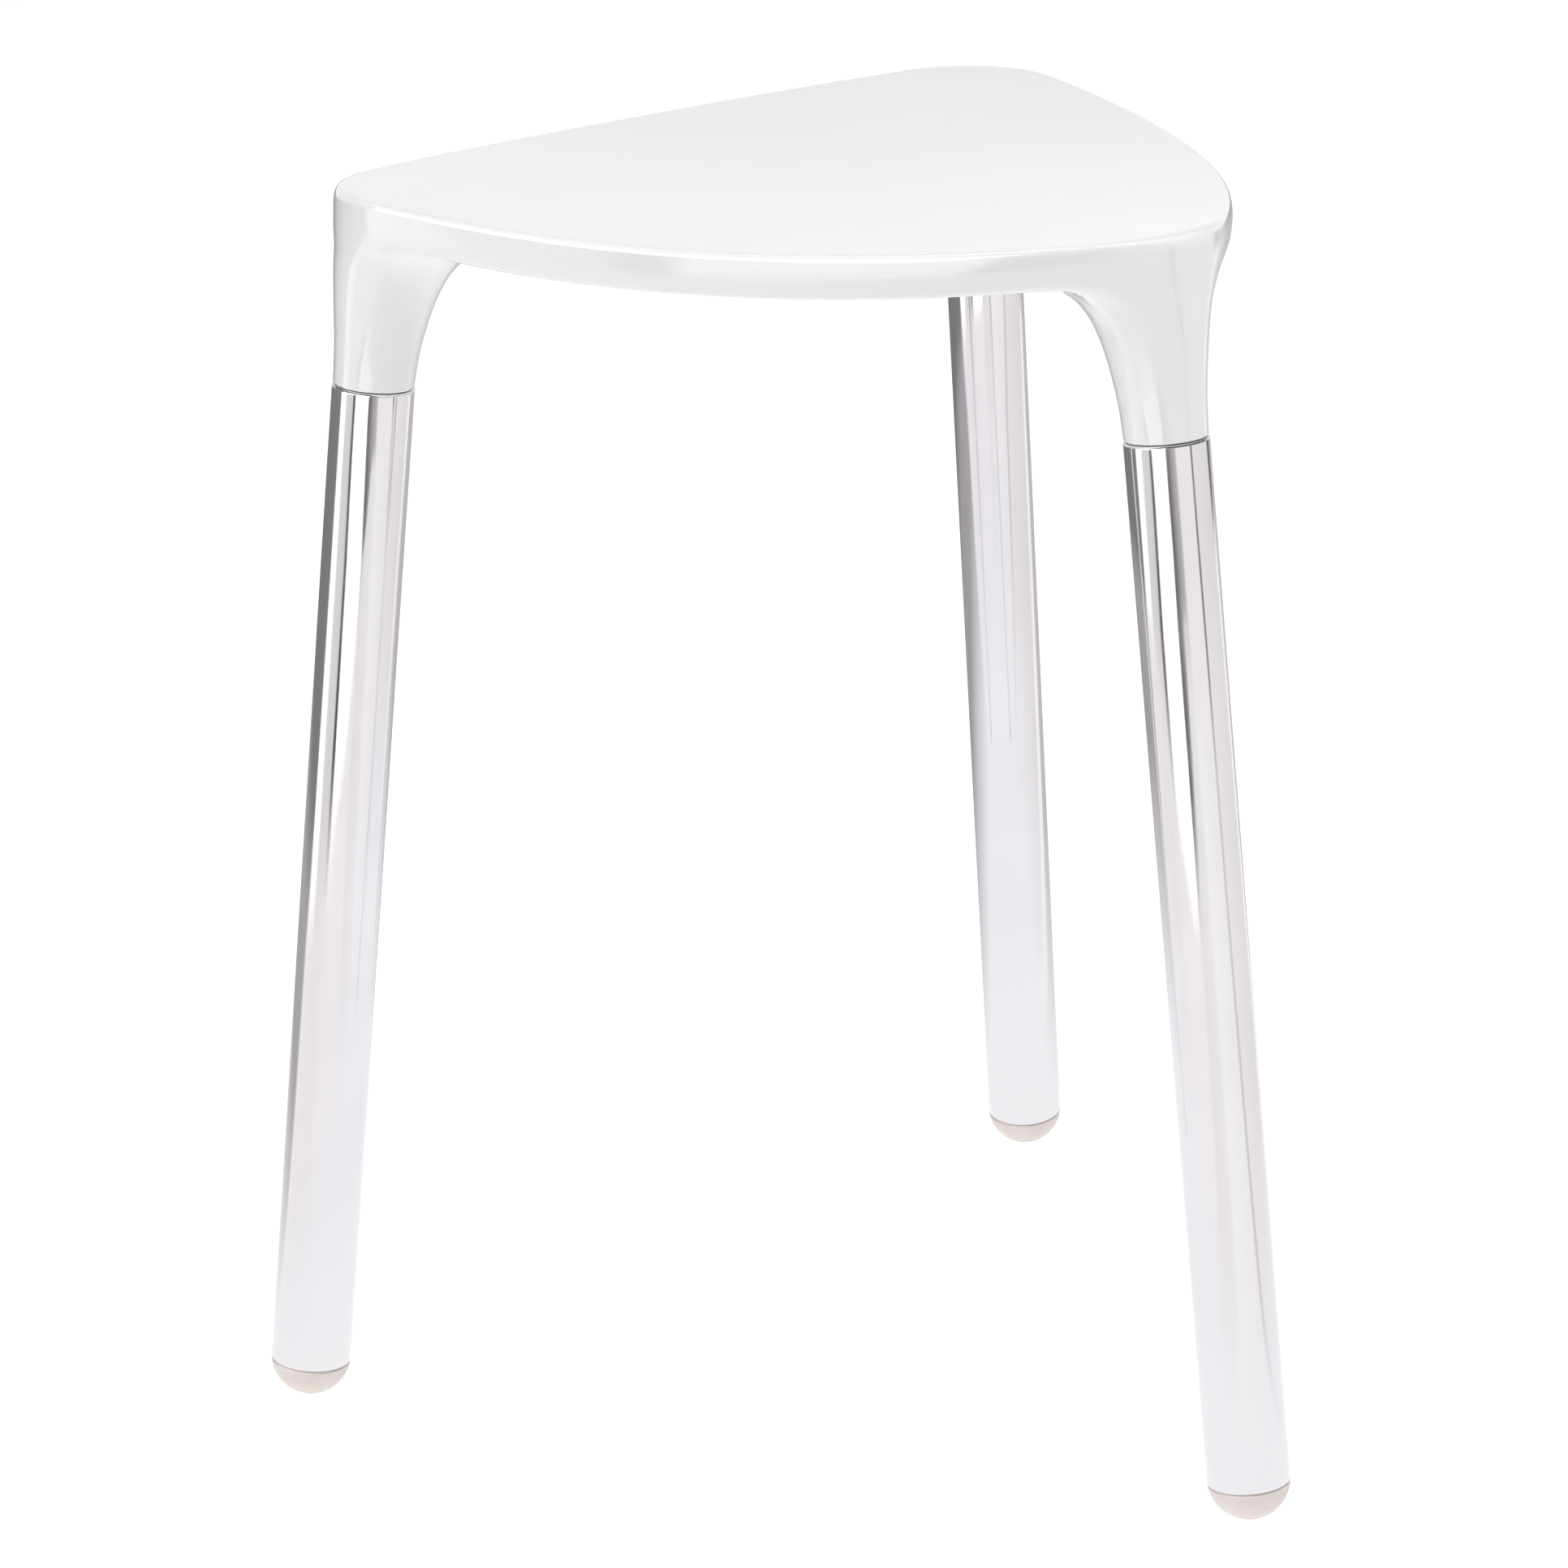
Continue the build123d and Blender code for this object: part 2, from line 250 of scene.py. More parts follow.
# How far the lip of the hollow under the seat lies inside the outline, by slots from the tip.
LIP_INSET = [v * mm for v in (60, 59, 56, 51, 45, 37, 28, 17.5, 9.5, 5.6, 4.4, 4.4, 4.4)]


def steps_from_tip(slot):
    return abs(slot - 2 * HALF_SLOTS * round(slot / (2 * HALF_SLOTS)))


def softness(slot):
    """1 at a tip, 0 from TIP_FADE slots on, with a smooth run between."""
    t = max(0.0, 1 - steps_from_tip(slot) / TIP_FADE)
    return t * t * (3 - 2 * t)


def mix(a, b, share):
    return a + (b - a) * share


def rim_point(slot, inset, drop, tip_inset=None, tip_drop=None):
    """A point of the rim: inset from the outline and below the dished top."""
    soft = softness(slot)
    inset = mix(inset, inset if tip_inset is None else tip_inset, soft)
    drop = mix(drop, drop if tip_drop is None else tip_drop, soft)
    depth = min(1.0, drop / SKIRT_HEIGHT)
    radius = mix(CORNER_RADIUS, LOWER_CORNER_RADIUS, depth)
    point = outline_point(slot, CORNER_REACH, radius, SIDE_REACH - DRAFT * depth)
    point += rim_inward(slot) * (inset + TIP_TUCK * soft * (1 - depth))
    point.z = saddle(point) - drop
    return point


def rim_inward(slot):
    """Level unit vector pointing in from the outline at a slot."""
    before = outline_point(slot - 0.5, CORNER_REACH, CORNER_RADIUS, SIDE_REACH)
    after = outline_point(slot + 0.5, CORNER_REACH, CORNER_RADIUS, SIDE_REACH)
    along = (after - before).normalized()
    return Vector((0, 0, 1)).cross(along)


def scaled_point(slot, share, drop=0.0):
    """A point of the outline drawn in towards the axis, on the dished top or below it."""
    point = outline_point(slot, CORNER_REACH, CORNER_RADIUS, SIDE_REACH) * share
    point.z = saddle(point) - drop
    return point


def lip_point(slot, share, extra=0.0, drop=SKIRT_HEIGHT):
    """A point under the seat, between the skirt's lower edge (share 0) and the hollow's lip (1)."""
    inset = LIP_INSET[steps_from_tip(slot)] * share + extra
    point = rim_point(slot, 0, SKIRT_HEIGHT) + rim_inward(slot) * inset
    point.z = saddle(point) - drop
    return point


print("rim softness by slot from a tip:", [round(softness(slot), 2) for slot in range(TIP_FADE + 1)])

# %% [markdown]
# Each ring of the cage is one rule that turns a slot into a point.  The list below is the seat's whole
# section, read from the middle of the top, outward over the rim, and inward again underneath.

# %% The list of rings
TOP_SHARES = (0.18, 0.36, 0.54, 0.70, 0.82)
HOLLOW_SHARES = (0.78, 0.52, 0.26)
LIP_RISE = 3.0 * mm  # loop spacing on the hollow's wall


def hollow_point(slot, share):
    """A point of the hollow's ceiling, drawn in towards the axis."""
    point = lip_point(slot, 1, 5.5 * mm, TOP_WALL)
    point = Vector((point.x * share, point.y * share, 0))
    point.z = saddle(point) - TOP_WALL
    return point


rings = [lambda slot, share=share: scaled_point(slot, share) for share in TOP_SHARES]
rings += [
    lambda slot: rim_point(slot, CREASE_INSET + 3 * EDGE, 0, 2.2 * TIP_EDGE, 0),
    lambda slot: rim_point(slot, CREASE_INSET + EDGE, 0, TIP_EDGE, 0),
    lambda slot: rim_point(slot, CREASE_INSET, 0, 0, 0),
    lambda slot: rim_point(slot, 0.45 * CREASE_INSET, EDGE, 0, 0.8 * TIP_EDGE),
    lambda slot: rim_point(slot, 0, WIDEST_DROP, 0, 0.75 * SKIRT_HEIGHT),
    lambda slot: rim_point(slot, 0, SKIRT_HEIGHT - BOTTOM_EDGE, 0, 0.9 * SKIRT_HEIGHT),
]
FOOT_RING = len(rings)  # the ring on the skirt's lower edge, where the sockets start
rings += [
    lambda slot: lip_point(slot, 0),
    lambda slot: lip_point(slot, 0.36),
    lambda slot: lip_point(slot, 0.68),
    lambda slot: lip_point(slot, 1),
]
LIP_RING = len(rings) - 1
rings += [
    lambda slot: lip_point(slot, 1, 0.4 * mm, SKIRT_HEIGHT - LIP_RISE),
    lambda slot: lip_point(slot, 1, 1.0 * mm, TOP_WALL + LIP_RISE),
    lambda slot: lip_point(slot, 1, 1.6 * mm, TOP_WALL),
    lambda slot: lip_point(slot, 1, 4.5 * mm, TOP_WALL),
]
rings += [lambda slot, share=share: hollow_point(slot, share) for share in HOLLOW_SHARES]
print(len(rings), "rings of", SLOTS, "slots")

# %% [markdown]
# The plate could be modelled face by face, but extruding one circle again and again keeps the count of
# vertices equal in every ring.  So all faces have four sides, which is what subdivision needs.

# %% Build the plate, ring by ring
bpy.ops.object.select_all(action="DESELECT")
bpy.ops.mesh.primitive_circle_add(vertices=SLOTS, radius=CORNER_REACH * TOP_SHARES[0], location=AXIS)
seat = name_it(bpy.context.object, "seat_moulding")
settle(seat)


def int_attribute(mesh, name, values):
    attribute = mesh.attributes.new(name, "INT", "POINT")
    attribute.data.foreach_set("value", values)


def slot_of(vertex):
    """Slots are counted from the back corner, all the way round."""
    place = vertex.co - AXIS
    return round((math.degrees(math.atan2(place.y, place.x)) - 90) / (360 / SLOTS)) % SLOTS


def place_selected(obj, ring_number, place):
    """Put each selected vertex where its slot says, and note which ring it is in."""
    slots = obj.data.attributes["slot"].data
    numbers = obj.data.attributes["ring"].data
    for vertex in obj.data.vertices:
        if vertex.select:
            vertex.co = place(slots[vertex.index].value) + Vector((AXIS.x, AXIS.y, 0))
            numbers[vertex.index].value = ring_number


int_attribute(seat.data, "slot", [slot_of(v) for v in seat.data.vertices])
int_attribute(seat.data, "ring", [0] * SLOTS)
place_selected(seat, 0, rings[0])
for number, ring in enumerate(rings[1:], start=1):
    edit(seat)
    bpy.ops.mesh.extrude_edges_move()
    leave()
    place_selected(seat, number, ring)


def select_ring(obj, number):
    """Select one ring's vertices and the edges between them."""
    edit(obj)
    bpy.ops.mesh.select_mode(type="VERT")
    bpy.ops.mesh.select_all(action="DESELECT")
    leave()
    for vertex, entry in zip(obj.data.vertices, obj.data.attributes["ring"].data):
        vertex.select = entry.value == number


# The two open middles, on top and in the hollow, are closed with an even grid of four-sided faces.
FILLED = -1
for number, drop in ((0, 0.0), (len(rings) - 1, TOP_WALL)):
    select_ring(seat, number)
    edit(seat)
    bpy.ops.mesh.fill_grid(span=SLOTS // 4)
    leave()
    entries = seat.data.attributes["ring"].data
    for vertex in seat.data.vertices:
        if vertex.select and vertex.index >= SLOTS * len(rings):
            entries[vertex.index].value = FILLED
            vertex.co.z = saddle(vertex.co - AXIS) - drop
print("plate cage:", len(seat.data.vertices), "vertices,", len(seat.data.polygons), "faces")

# %% [markdown]
# ## The sockets
#
# Under each corner a patch of faces is deleted, between the skirt's lower edge and the lip of the hollow.
# The hole's border is then extruded downward as a loop.  Each vertex keeps a number that says where it
# sits round the socket: 0 at the outside, 15 at the inside.  At the top the loop follows the border, and
# on its way down it becomes a circle round the leg's axis.  The inside flares widely and the outside
# hardly at all, so the socket bends into the seat like a branch.

# %% Cut the holes and number their borders
AROUND = 4 * CORNER_SLOTS + 6
NO_LEG = -1


def corner_of(slot):
    """Which leg's corner a slot belongs to, and how many slots it lies from the tip, with its sign."""
    third = round(slot / (2 * HALF_SLOTS)) % 3
    step = slot - 2 * HALF_SLOTS * round(slot / (2 * HALF_SLOTS))
    return third, step


slots = [entry.value for entry in seat.data.attributes["slot"].data]
numbers = [entry.value for entry in seat.data.attributes["ring"].data]
edit(seat)
bpy.ops.mesh.select_mode(type="FACE")
bpy.ops.mesh.select_all(action="DESELECT")
leave()
for polygon in seat.data.polygons:
    in_patch = all(
        FOOT_RING <= numbers[v] <= LIP_RING and abs(corner_of(slots[v])[1]) <= CORNER_SLOTS
        for v in polygon.vertices
    )
    polygon.select = in_patch
edit(seat)
bpy.ops.mesh.delete(type="FACE")
bpy.ops.mesh.select_mode(type="EDGE")
bpy.ops.mesh.select_all(action="DESELECT")
bpy.ops.mesh.select_non_manifold()
leave()

slots = [entry.value for entry in seat.data.attributes["slot"].data]
numbers = [entry.value for entry in seat.data.attributes["ring"].data]
legs = [NO_LEG] * len(seat.data.vertices)
spots = [0] * len(seat.data.vertices)
for vertex in seat.data.vertices:
    if not vertex.select:
        continue
    third, step = corner_of(slots[vertex.index])
    sign = 1 if step >= 0 else -1
    row = numbers[vertex.index] - FOOT_RING
    legs[vertex.index] = third
    if row == 0:
        spots[vertex.index] = step
    elif row == LIP_RING - FOOT_RING:
        spots[vertex.index] = sign * (AROUND // 2 - abs(step)) if step else AROUND // 2
    else:
        spots[vertex.index] = sign * (CORNER_SLOTS + row)
int_attribute(seat.data, "leg", legs)
int_attribute(seat.data, "spot", spots)
print("socket borders:", sum(leg != NO_LEG for leg in legs), "vertices, expected", 3 * AROUND)

# %% The sockets' sections
# Height above the joint, growth outward and growth inward, as the socket rises from its collar.
SOCKET_GROWTH = [
    (0.0, 0.0, 0.0),
    (12.0, 0.2, 0.9),
    (20.0, 0.7, 2.7),
    (28.0, 1.4, 4.9),
    (36.0, 2.0, 8.3),
    (42.0, 2.4, 13.0),
    (47.0, 2.5, 20.0),
    (51.0, 2.5, 30.0),
]
SOCKET_HEIGHTS = (50.0, 46.5, 42.5, 37.5, 31.5, 25.0, 18.0, 11.0, 5.0)
LEVEL_ABOVE = 36.0 * mm  # sections are level above this height and square to the leg below the next
SQUARE_BELOW = 12.0 * mm
# The section's sideways growth, as a share of its growth inward and outward: wide on the outside of the
# corner and narrow on the inside, so that it is shaped like the corner itself.
OUTER_WIDTH = 1.05
INNER_WIDTH = 0.5
# The skirt's lower edge runs on down the socket as a soft ridge, which fades out above the joint.
RIDGE = 1.5 * mm
RIDGE_START, RIDGE_END = 50.0 * mm, 5.0 * mm


def growth(height):
    """Outward and inward growth of the socket's section at a height, in metres."""
    for low, high in zip(SOCKET_GROWTH, SOCKET_GROWTH[1:]):
        if height <= high[0] * mm or high is SOCKET_GROWTH[-1]:
            share = (height - low[0] * mm) / ((high[0] - low[0]) * mm)
            return mix(low[1], high[1], share) * mm, mix(low[2], high[2], share) * mm


def socket_point(leg, spot, height):
    """A point on the socket's outside, at a height above the joint."""
    joint, up, out, across = leg_frame(LEG_TURNS[LEG_ORDER[leg]])
    out_growth, in_growth = growth(height)
    radius = COLLAR_RADIUS + (out_growth + in_growth) / 2
    angle = 2 * math.pi * spot / AROUND
    width = mix(INNER_WIDTH, OUTER_WIDTH, (1 + math.cos(angle)) / 2)
    half_width = COLLAR_RADIUS + width * (out_growth + in_growth) / 2
    level = min(1.0, max(0.0, (height - SQUARE_BELOW) / (LEVEL_ABOVE - SQUARE_BELOW)))
    centre = joint + up * (height / up.z) + out * (out_growth - in_growth) / 2
    plan_out = (out * (1 - level) + outward(LEG_TURNS[LEG_ORDER[leg]]) * level).normalized()
    offset = plan_out * radius * math.cos(angle) + across * half_width * math.sin(angle)
    if abs(spot) == CORNER_SLOTS:
        fade = max(0.0, (height - RIDGE_END) / (RIDGE_START - RIDGE_END))
        offset += offset.normalized() * RIDGE * fade
    return centre + offset


def bore_point(leg, spot, radius, height):
    """A point on a circle square to the leg, at a distance up its axis from the joint."""
    joint, up, out, across = leg_frame(LEG_TURNS[LEG_ORDER[leg]])
    angle = 2 * math.pi * spot / AROUND
    return joint + up * height + out * radius * math.cos(angle) + across * radius * math.sin(angle)


print("a socket grows", [round(v / mm, 1) for v in growth(SOCKET_HEIGHTS[0] * mm)], "mm out and in")

# %% [markdown]
# Every height makes one more loop of all three sockets at once: extrude the border, then place each new
# vertex.  The same helper goes on past the joint.  The loops turn in at the collar's lower edge, and climb
# back inside as the stepped bore that takes the plug and the brass insert.

# %% Draw the sockets down


def draw_down(obj, place):
    """Extrude the selected loops and put each new vertex where its leg and spot say."""
    edit(obj)
    bpy.ops.mesh.extrude_edges_move()
    leave()
    legs = obj.data.attributes["leg"].data
    spots = obj.data.attributes["spot"].data
    for vertex in obj.data.vertices:
        if vertex.select:
            vertex.co = place(legs[vertex.index].value, spots[vertex.index].value)


for height in SOCKET_HEIGHTS:
    draw_down(seat, lambda leg, spot: socket_point(leg, spot, height * mm))
print("sockets:", len(SOCKET_HEIGHTS), "loops down to the collars")

# %% [markdown]
# The collar is the socket's round lower end, a hair slimmer than the tube, so that the joint looks flush.
# Its bore is stepped: a wide part centres the plug, and a narrow part holds the threaded insert.  Each
# corner of the profile has a holding loop on both sides, so subdivision leaves it crisp.

# %% Collars and bores
# Collar: two close loops each side of its lower edge keep it crisp, and then come the end face and the
# stepped bore for the plug's spigot and the insert.
COLLAR_EDGE = 0.7 * mm
SPIGOT_HOLE = 9.15 * mm
SPIGOT_DEPTH = 4.15 * mm
INSERT_HOLE = 6.0 * mm
INSERT_DEPTH = SPIGOT_DEPTH + 20.0 * mm
HOLD = 0.4 * mm  # distance of a holding loop from the edge it holds
collar_end = FLANGE_GAP
bore_loops = [
    (COLLAR_RADIUS, collar_end + COLLAR_EDGE),
    (COLLAR_RADIUS, collar_end),
    (COLLAR_RADIUS - COLLAR_EDGE, collar_end),
    (SPIGOT_HOLE + HOLD, collar_end),
    (SPIGOT_HOLE, collar_end),
    (SPIGOT_HOLE, collar_end + HOLD),
    (SPIGOT_HOLE, collar_end + SPIGOT_DEPTH - HOLD),
    (SPIGOT_HOLE, collar_end + SPIGOT_DEPTH),
    (SPIGOT_HOLE - HOLD, collar_end + SPIGOT_DEPTH),
    (INSERT_HOLE + HOLD, collar_end + SPIGOT_DEPTH),
    (INSERT_HOLE, collar_end + SPIGOT_DEPTH),
    (INSERT_HOLE, collar_end + SPIGOT_DEPTH + HOLD),
    (INSERT_HOLE, collar_end + INSERT_DEPTH - HOLD),
    (INSERT_HOLE, collar_end + INSERT_DEPTH),
    (INSERT_HOLE - HOLD, collar_end + INSERT_DEPTH),
    (INSERT_HOLE / 2, collar_end + INSERT_DEPTH),
]
for radius, height in bore_loops:
    draw_down(seat, lambda leg, spot: bore_point(leg, spot, radius, height))
edit(seat)
bpy.ops.mesh.edge_face_add()
leave()
print("bores:", len(bore_loops), "loops,", round(INSERT_DEPTH / mm, 1), "mm deep")

# %% [markdown]
# Subdivision halves every face twice and rounds the cage into the moulded skin.  Extruding can leave faces
# turned inward, so the normals are recalculated first.  Smooth shading stops at sharp angles, and the
# collar's edge stays an edge.

# %% Smooth the cage
SEAT_SMOOTHING = 40  # degrees
face_out(seat)
apply_modifier(seat, "SUBSURF", levels=2, render_levels=2)
smooth(seat, SEAT_SMOOTHING)
print("seat:", len(seat.data.vertices), "vertices,", len(seat.data.polygons), "faces")
belongs(seat, "seat_plastic", "seat_shell")

# %% [markdown]
# ## The ribs under the seat
#
# A moulded plate this wide is stiffened from below by thin ribs.  Here they run in three directions, 60
# degrees apart, so that they make even triangles.  A filled circle with six sides is already six such
# triangles.  Subdividing it and insetting each face leaves the rib lines as strips, once the inner faces
# are deleted.  The strips are extruded upward into walls and set to the dished top's curve.  A Boolean
# then keeps the part inside the hollow, so every rib ends in the skirt or in a socket.

# %% Lay out the rib grid
RIB_SPACING = 36.0 * mm
RIB_CELL = RIB_SPACING / math.sin(math.pi / 3)  # edge of one triangle
RIB_CELLS = 4  # triangles from the middle to a corner of the grid
RIB_THICKNESS = 2.4 * mm
RIB_DROP = 12.4 * mm  # lower edge of a rib below the seat's top
RIB_ROUND = 0.35 * mm
ROOT = 1.2 * mm  # how far a rib reaches into the wall it joins
WELD = 0.02 * mm  # vertices closer than this are one

bpy.ops.object.select_all(action="DESELECT")
bpy.ops.mesh.primitive_circle_add(
    vertices=6, radius=RIB_CELLS * RIB_CELL, fill_type="TRIFAN", location=(AXIS.x, AXIS.y, 0)
)
ribs = name_it(bpy.context.object, "seat_ribs")
settle(ribs)
edit(ribs)
bpy.ops.mesh.select_all(action="SELECT")
bpy.ops.mesh.subdivide(number_cuts=RIB_CELLS - 1)
bpy.ops.mesh.select_mode(type="FACE")
bpy.ops.mesh.select_all(action="SELECT")
bpy.ops.mesh.inset(thickness=RIB_THICKNESS / 2, use_individual=True, use_boundary=True)
bpy.ops.mesh.delete(type="FACE")
bpy.ops.mesh.select_all(action="SELECT")
bpy.ops.mesh.remove_doubles(threshold=WELD)
bpy.ops.mesh.extrude_region_move(TRANSFORM_OT_translate={"value": (0, 0, RIB_DROP)})
leave()
for vertex in ribs.data.vertices:
    top = vertex.co.z > RIB_DROP / 2
    vertex.co.z = saddle(vertex.co - AXIS) - (TOP_WALL - ROOT if top else RIB_DROP)
face_out(ribs)
print("rib grid:", len(ribs.data.polygons), "faces")

# %% [markdown]
# A moulded rib has a rounded lower edge, because a sharp one would tear or stick in the mould.  The trim is
# a Boolean with a prism of the hollow's own outline, a little wider, so the ribs' ends sink into the wall.

# %% Round the lower edges and trim the ribs to the hollow
edit(ribs)
bpy.ops.mesh.select_mode(type="EDGE")
bpy.ops.mesh.select_all(action="DESELECT")
bpy.ops.mesh.edges_select_sharp(sharpness=math.radians(60))
leave()
for edge in ribs.data.edges:
    ends = [ribs.data.vertices[v].co for v in edge.vertices]
    edge.select = edge.select and all(
        p.z < saddle(p - AXIS) - (RIB_DROP + TOP_WALL) / 2 for p in ends
    )
edit(ribs)
bpy.ops.mesh.bevel(offset=RIB_ROUND, segments=2)
leave()

bpy.ops.object.select_all(action="DESELECT")
bpy.ops.mesh.primitive_circle_add(
    vertices=SLOTS, radius=CORNER_REACH, fill_type="NGON", location=(AXIS.x, AXIS.y, 0)
)
trimmer = bpy.context.object
settle(trimmer)
for vertex in trimmer.data.vertices:
    place = lip_point(slot_of(vertex), 1, -ROOT)
    vertex.co = Vector((place.x + AXIS.x, place.y + AXIS.y, JOINT_HEIGHT))
edit(trimmer)
bpy.ops.mesh.select_all(action="SELECT")
bpy.ops.mesh.extrude_region_move(
    TRANSFORM_OT_translate={"value": (0, 0, SEAT_HEIGHT + ROOT - JOINT_HEIGHT)}
)
leave()
face_out(trimmer)
apply_modifier(ribs, "BOOLEAN", operation="INTERSECT", object=trimmer, solver="MANIFOLD")
bpy.data.objects.remove(trimmer)
smooth(ribs, SEAT_SMOOTHING)
belongs(ribs, "seat_plastic", "seat_shell")
print("seat_ribs:", len(ribs.data.polygons), "faces")
assert ribs.data.polygons, "the trim left no ribs"

# %% [markdown]
# ## Turned pieces: tubes and feet
#
# A tube and a foot are round about the leg's axis.  Each is drawn as a profile of (radius, height) points,
# with the leg standing upright and its joint at the origin.  The first point becomes a circle, and each
# next point is one extrude of that circle, scaled to its radius.  This gives even, long faces that reflect
# cleanly, which matters on a mirror finish.
#
# Every vertex also keeps its upright place in an attribute named "leg_place".  The leg is then tilted into
# its place, but the finish can still follow the tube's length through that attribute.

# %% Turning helpers
TURN_STEPS = 128


def turned(name, profile, closed):
    """Turn a profile of (radius, height) points about Z; closed joins its last point to its first."""
    bpy.ops.object.select_all(action="DESELECT")
    radius, height = profile[0]
    bpy.ops.mesh.primitive_circle_add(vertices=TURN_STEPS, radius=radius, location=(0, 0, height))
    piece = name_it(bpy.context.object, name)
    settle(piece)
    for next_radius, next_height in profile[1:]:
        edit(piece)
        bpy.ops.mesh.extrude_edges_move()
        leave()
        for vertex in piece.data.vertices:
            if vertex.select:
                x, y = vertex.co.xy * (next_radius / radius)
                vertex.co = (x, y, next_height)
        radius = next_radius
    edit(piece)
    bpy.ops.mesh.select_all(action="DESELECT")
    bpy.ops.mesh.select_non_manifold()
    if closed:
        bpy.ops.mesh.bridge_edge_loops()
    else:
        bpy.ops.mesh.edge_face_add()
    leave()
    face_out(piece)
    return piece


def keep_leg_place(piece):
    """Store the upright place of each vertex as an attribute."""
    attribute = piece.data.attributes.new("leg_place", "FLOAT_VECTOR", "POINT")
    attribute.data.foreach_set("vector", [c for v in piece.data.vertices for c in v.co])


def copy_to_leg(piece, leg, name):
    """Copy an upright piece, with its own mesh, and stand it in a leg's place."""
    only(piece)
    bpy.ops.object.duplicate(linked=False)
    copy = name_it(bpy.context.object, name)
    joint, up, out, across = leg_frame(LEG_TURNS[leg])
    copy.matrix_world = Matrix.Translation(joint) @ Matrix((out, across, up)).transposed().to_4x4()
    settle(copy)
    return copy


print("turned pieces have", TURN_STEPS, "steps round")

# %% [markdown]
# A leg is a plain piece of steel tube, cut square, with its edges broken before it is plated.  A cylinder
# would show no wall at its ends, so the profile goes round the whole wall: end, outside, end and bore.  A
# fine bevel catches the light along the edges, as plating does.

# %% The plated tubes
TUBE_LENGTH = 355.7 * mm
CHAMFER = 0.7 * mm
LOWER_CHAMFER = 0.3 * mm
EDGE_ROUND = 0.12 * mm
BORE_STEPS = 6  # rings down the tube, so that no face is needlessly long

tube_profile = [(BORE_RADIUS, 0), (TUBE_RADIUS - CHAMFER, 0), (TUBE_RADIUS, -CHAMFER)]
tube_profile += [(TUBE_RADIUS, -TUBE_LENGTH * step / BORE_STEPS) for step in range(1, BORE_STEPS)]
tube_profile += [
    (TUBE_RADIUS, LOWER_CHAMFER - TUBE_LENGTH),
    (TUBE_RADIUS - LOWER_CHAMFER, -TUBE_LENGTH),
    (BORE_RADIUS, -TUBE_LENGTH),
]
tube = turned("upright_tube", tube_profile, closed=True)
rounding = dict(width=EDGE_ROUND, segments=2, limit_method="ANGLE", angle_limit=math.radians(30))
apply_modifier(tube, "BEVEL", **rounding)
smooth(tube, 50)
keep_leg_place(tube)
tubes = []
for leg in LEG_ORDER:
    tubes.append(copy_to_leg(tube, leg, f"plated_tube_{leg}"))
    belongs(tubes[-1], "tube_chrome", f"leg_tube_{leg}")
bpy.data.objects.remove(tube)
print("plated tubes:", len(tubes), "of", len(tubes[0].data.polygons), "faces each")

# %% [markdown]
# The foot is a moulded rubber pad.  Below the tube's end it has a short neck, which shows as a fine dark
# groove, and then a dome that meets the floor in a small flat.  Its stem is slimmer than the tube's bore
# and three rings on it grip the bore.  The dome is an arc in the profile.  The flat is cut with bisect,
# because the leg leans and the floor doesn't.

# %% The domed feet
NECK_RADIUS = TUBE_RADIUS - 0.6 * mm
NECK_HEIGHT = 0.4 * mm
STEM_RADIUS = BORE_RADIUS - 0.8 * mm
STEM_LENGTH = 20.0 * mm
CORE_RADIUS = 7.0 * mm
CORE_DEPTH = 22.0 * mm
RINGS, RING_START, RING_PITCH, RING_HEIGHT = 3, 3.0 * mm, 6.0 * mm, 2.5 * mm
DOME_STEPS = 18
DOME_ROUND = 0.35 * mm
FIRST_STEP = 0.35  # the dome's first point, in steps below its edge
CUT_LIMIT = 0.001 * mm  # how near the floor a vertex counts as on it

stem_top = STEM_LENGTH - TUBE_LENGTH
dome_edge = -TUBE_LENGTH - NECK_HEIGHT
dome_middle = dome_edge + DOME_RADIUS - DOME_HEIGHT
foot_profile = [(CORE_RADIUS, stem_top - CORE_DEPTH), (CORE_RADIUS, stem_top), (STEM_RADIUS, stem_top)]
for ring in range(RINGS):
    ring_top = stem_top - RING_START - ring * RING_PITCH
    foot_profile += [
        (STEM_RADIUS, ring_top),
        (BORE_RADIUS, ring_top - RING_HEIGHT / 2),
        (STEM_RADIUS, ring_top - RING_HEIGHT),
    ]
foot_profile += [
    (STEM_RADIUS, -TUBE_LENGTH),
    (NECK_RADIUS, -TUBE_LENGTH),
    (NECK_RADIUS, dome_edge),
    (TUBE_RADIUS - DOME_ROUND, dome_edge),
]
widest = math.asin(TUBE_RADIUS / DOME_RADIUS)
for step in range(DOME_STEPS):
    turn = widest * (1 - (step + FIRST_STEP) / DOME_STEPS)
    foot_profile.append((DOME_RADIUS * math.sin(turn), dome_middle - DOME_RADIUS * math.cos(turn)))
foot = turned("upright_foot", foot_profile, closed=False)
smooth(foot, 35)
keep_leg_place(foot)
floor_cut = dict(plane_co=(0, 0, 0), plane_no=(0, 0, 1), use_fill=True, clear_inner=True)
feet = []
for leg in LEG_ORDER:
    pad = copy_to_leg(foot, leg, f"rubber_foot_{leg}")
    edit(pad)
    bpy.ops.mesh.select_all(action="SELECT")
    bpy.ops.mesh.bisect(threshold=CUT_LIMIT, **floor_cut)
    leave()
    belongs(pad, "foot_rubber", f"foot_{leg}")
    feet.append(pad)
bpy.data.objects.remove(foot)
low = min(v.co.z for pad in feet for v in pad.data.vertices)
print("rubber feet:", len(feet), "of", len(feet[0].data.polygons), "faces each")
print("lowest point of the feet:", round(low / mm, 3), "mm")

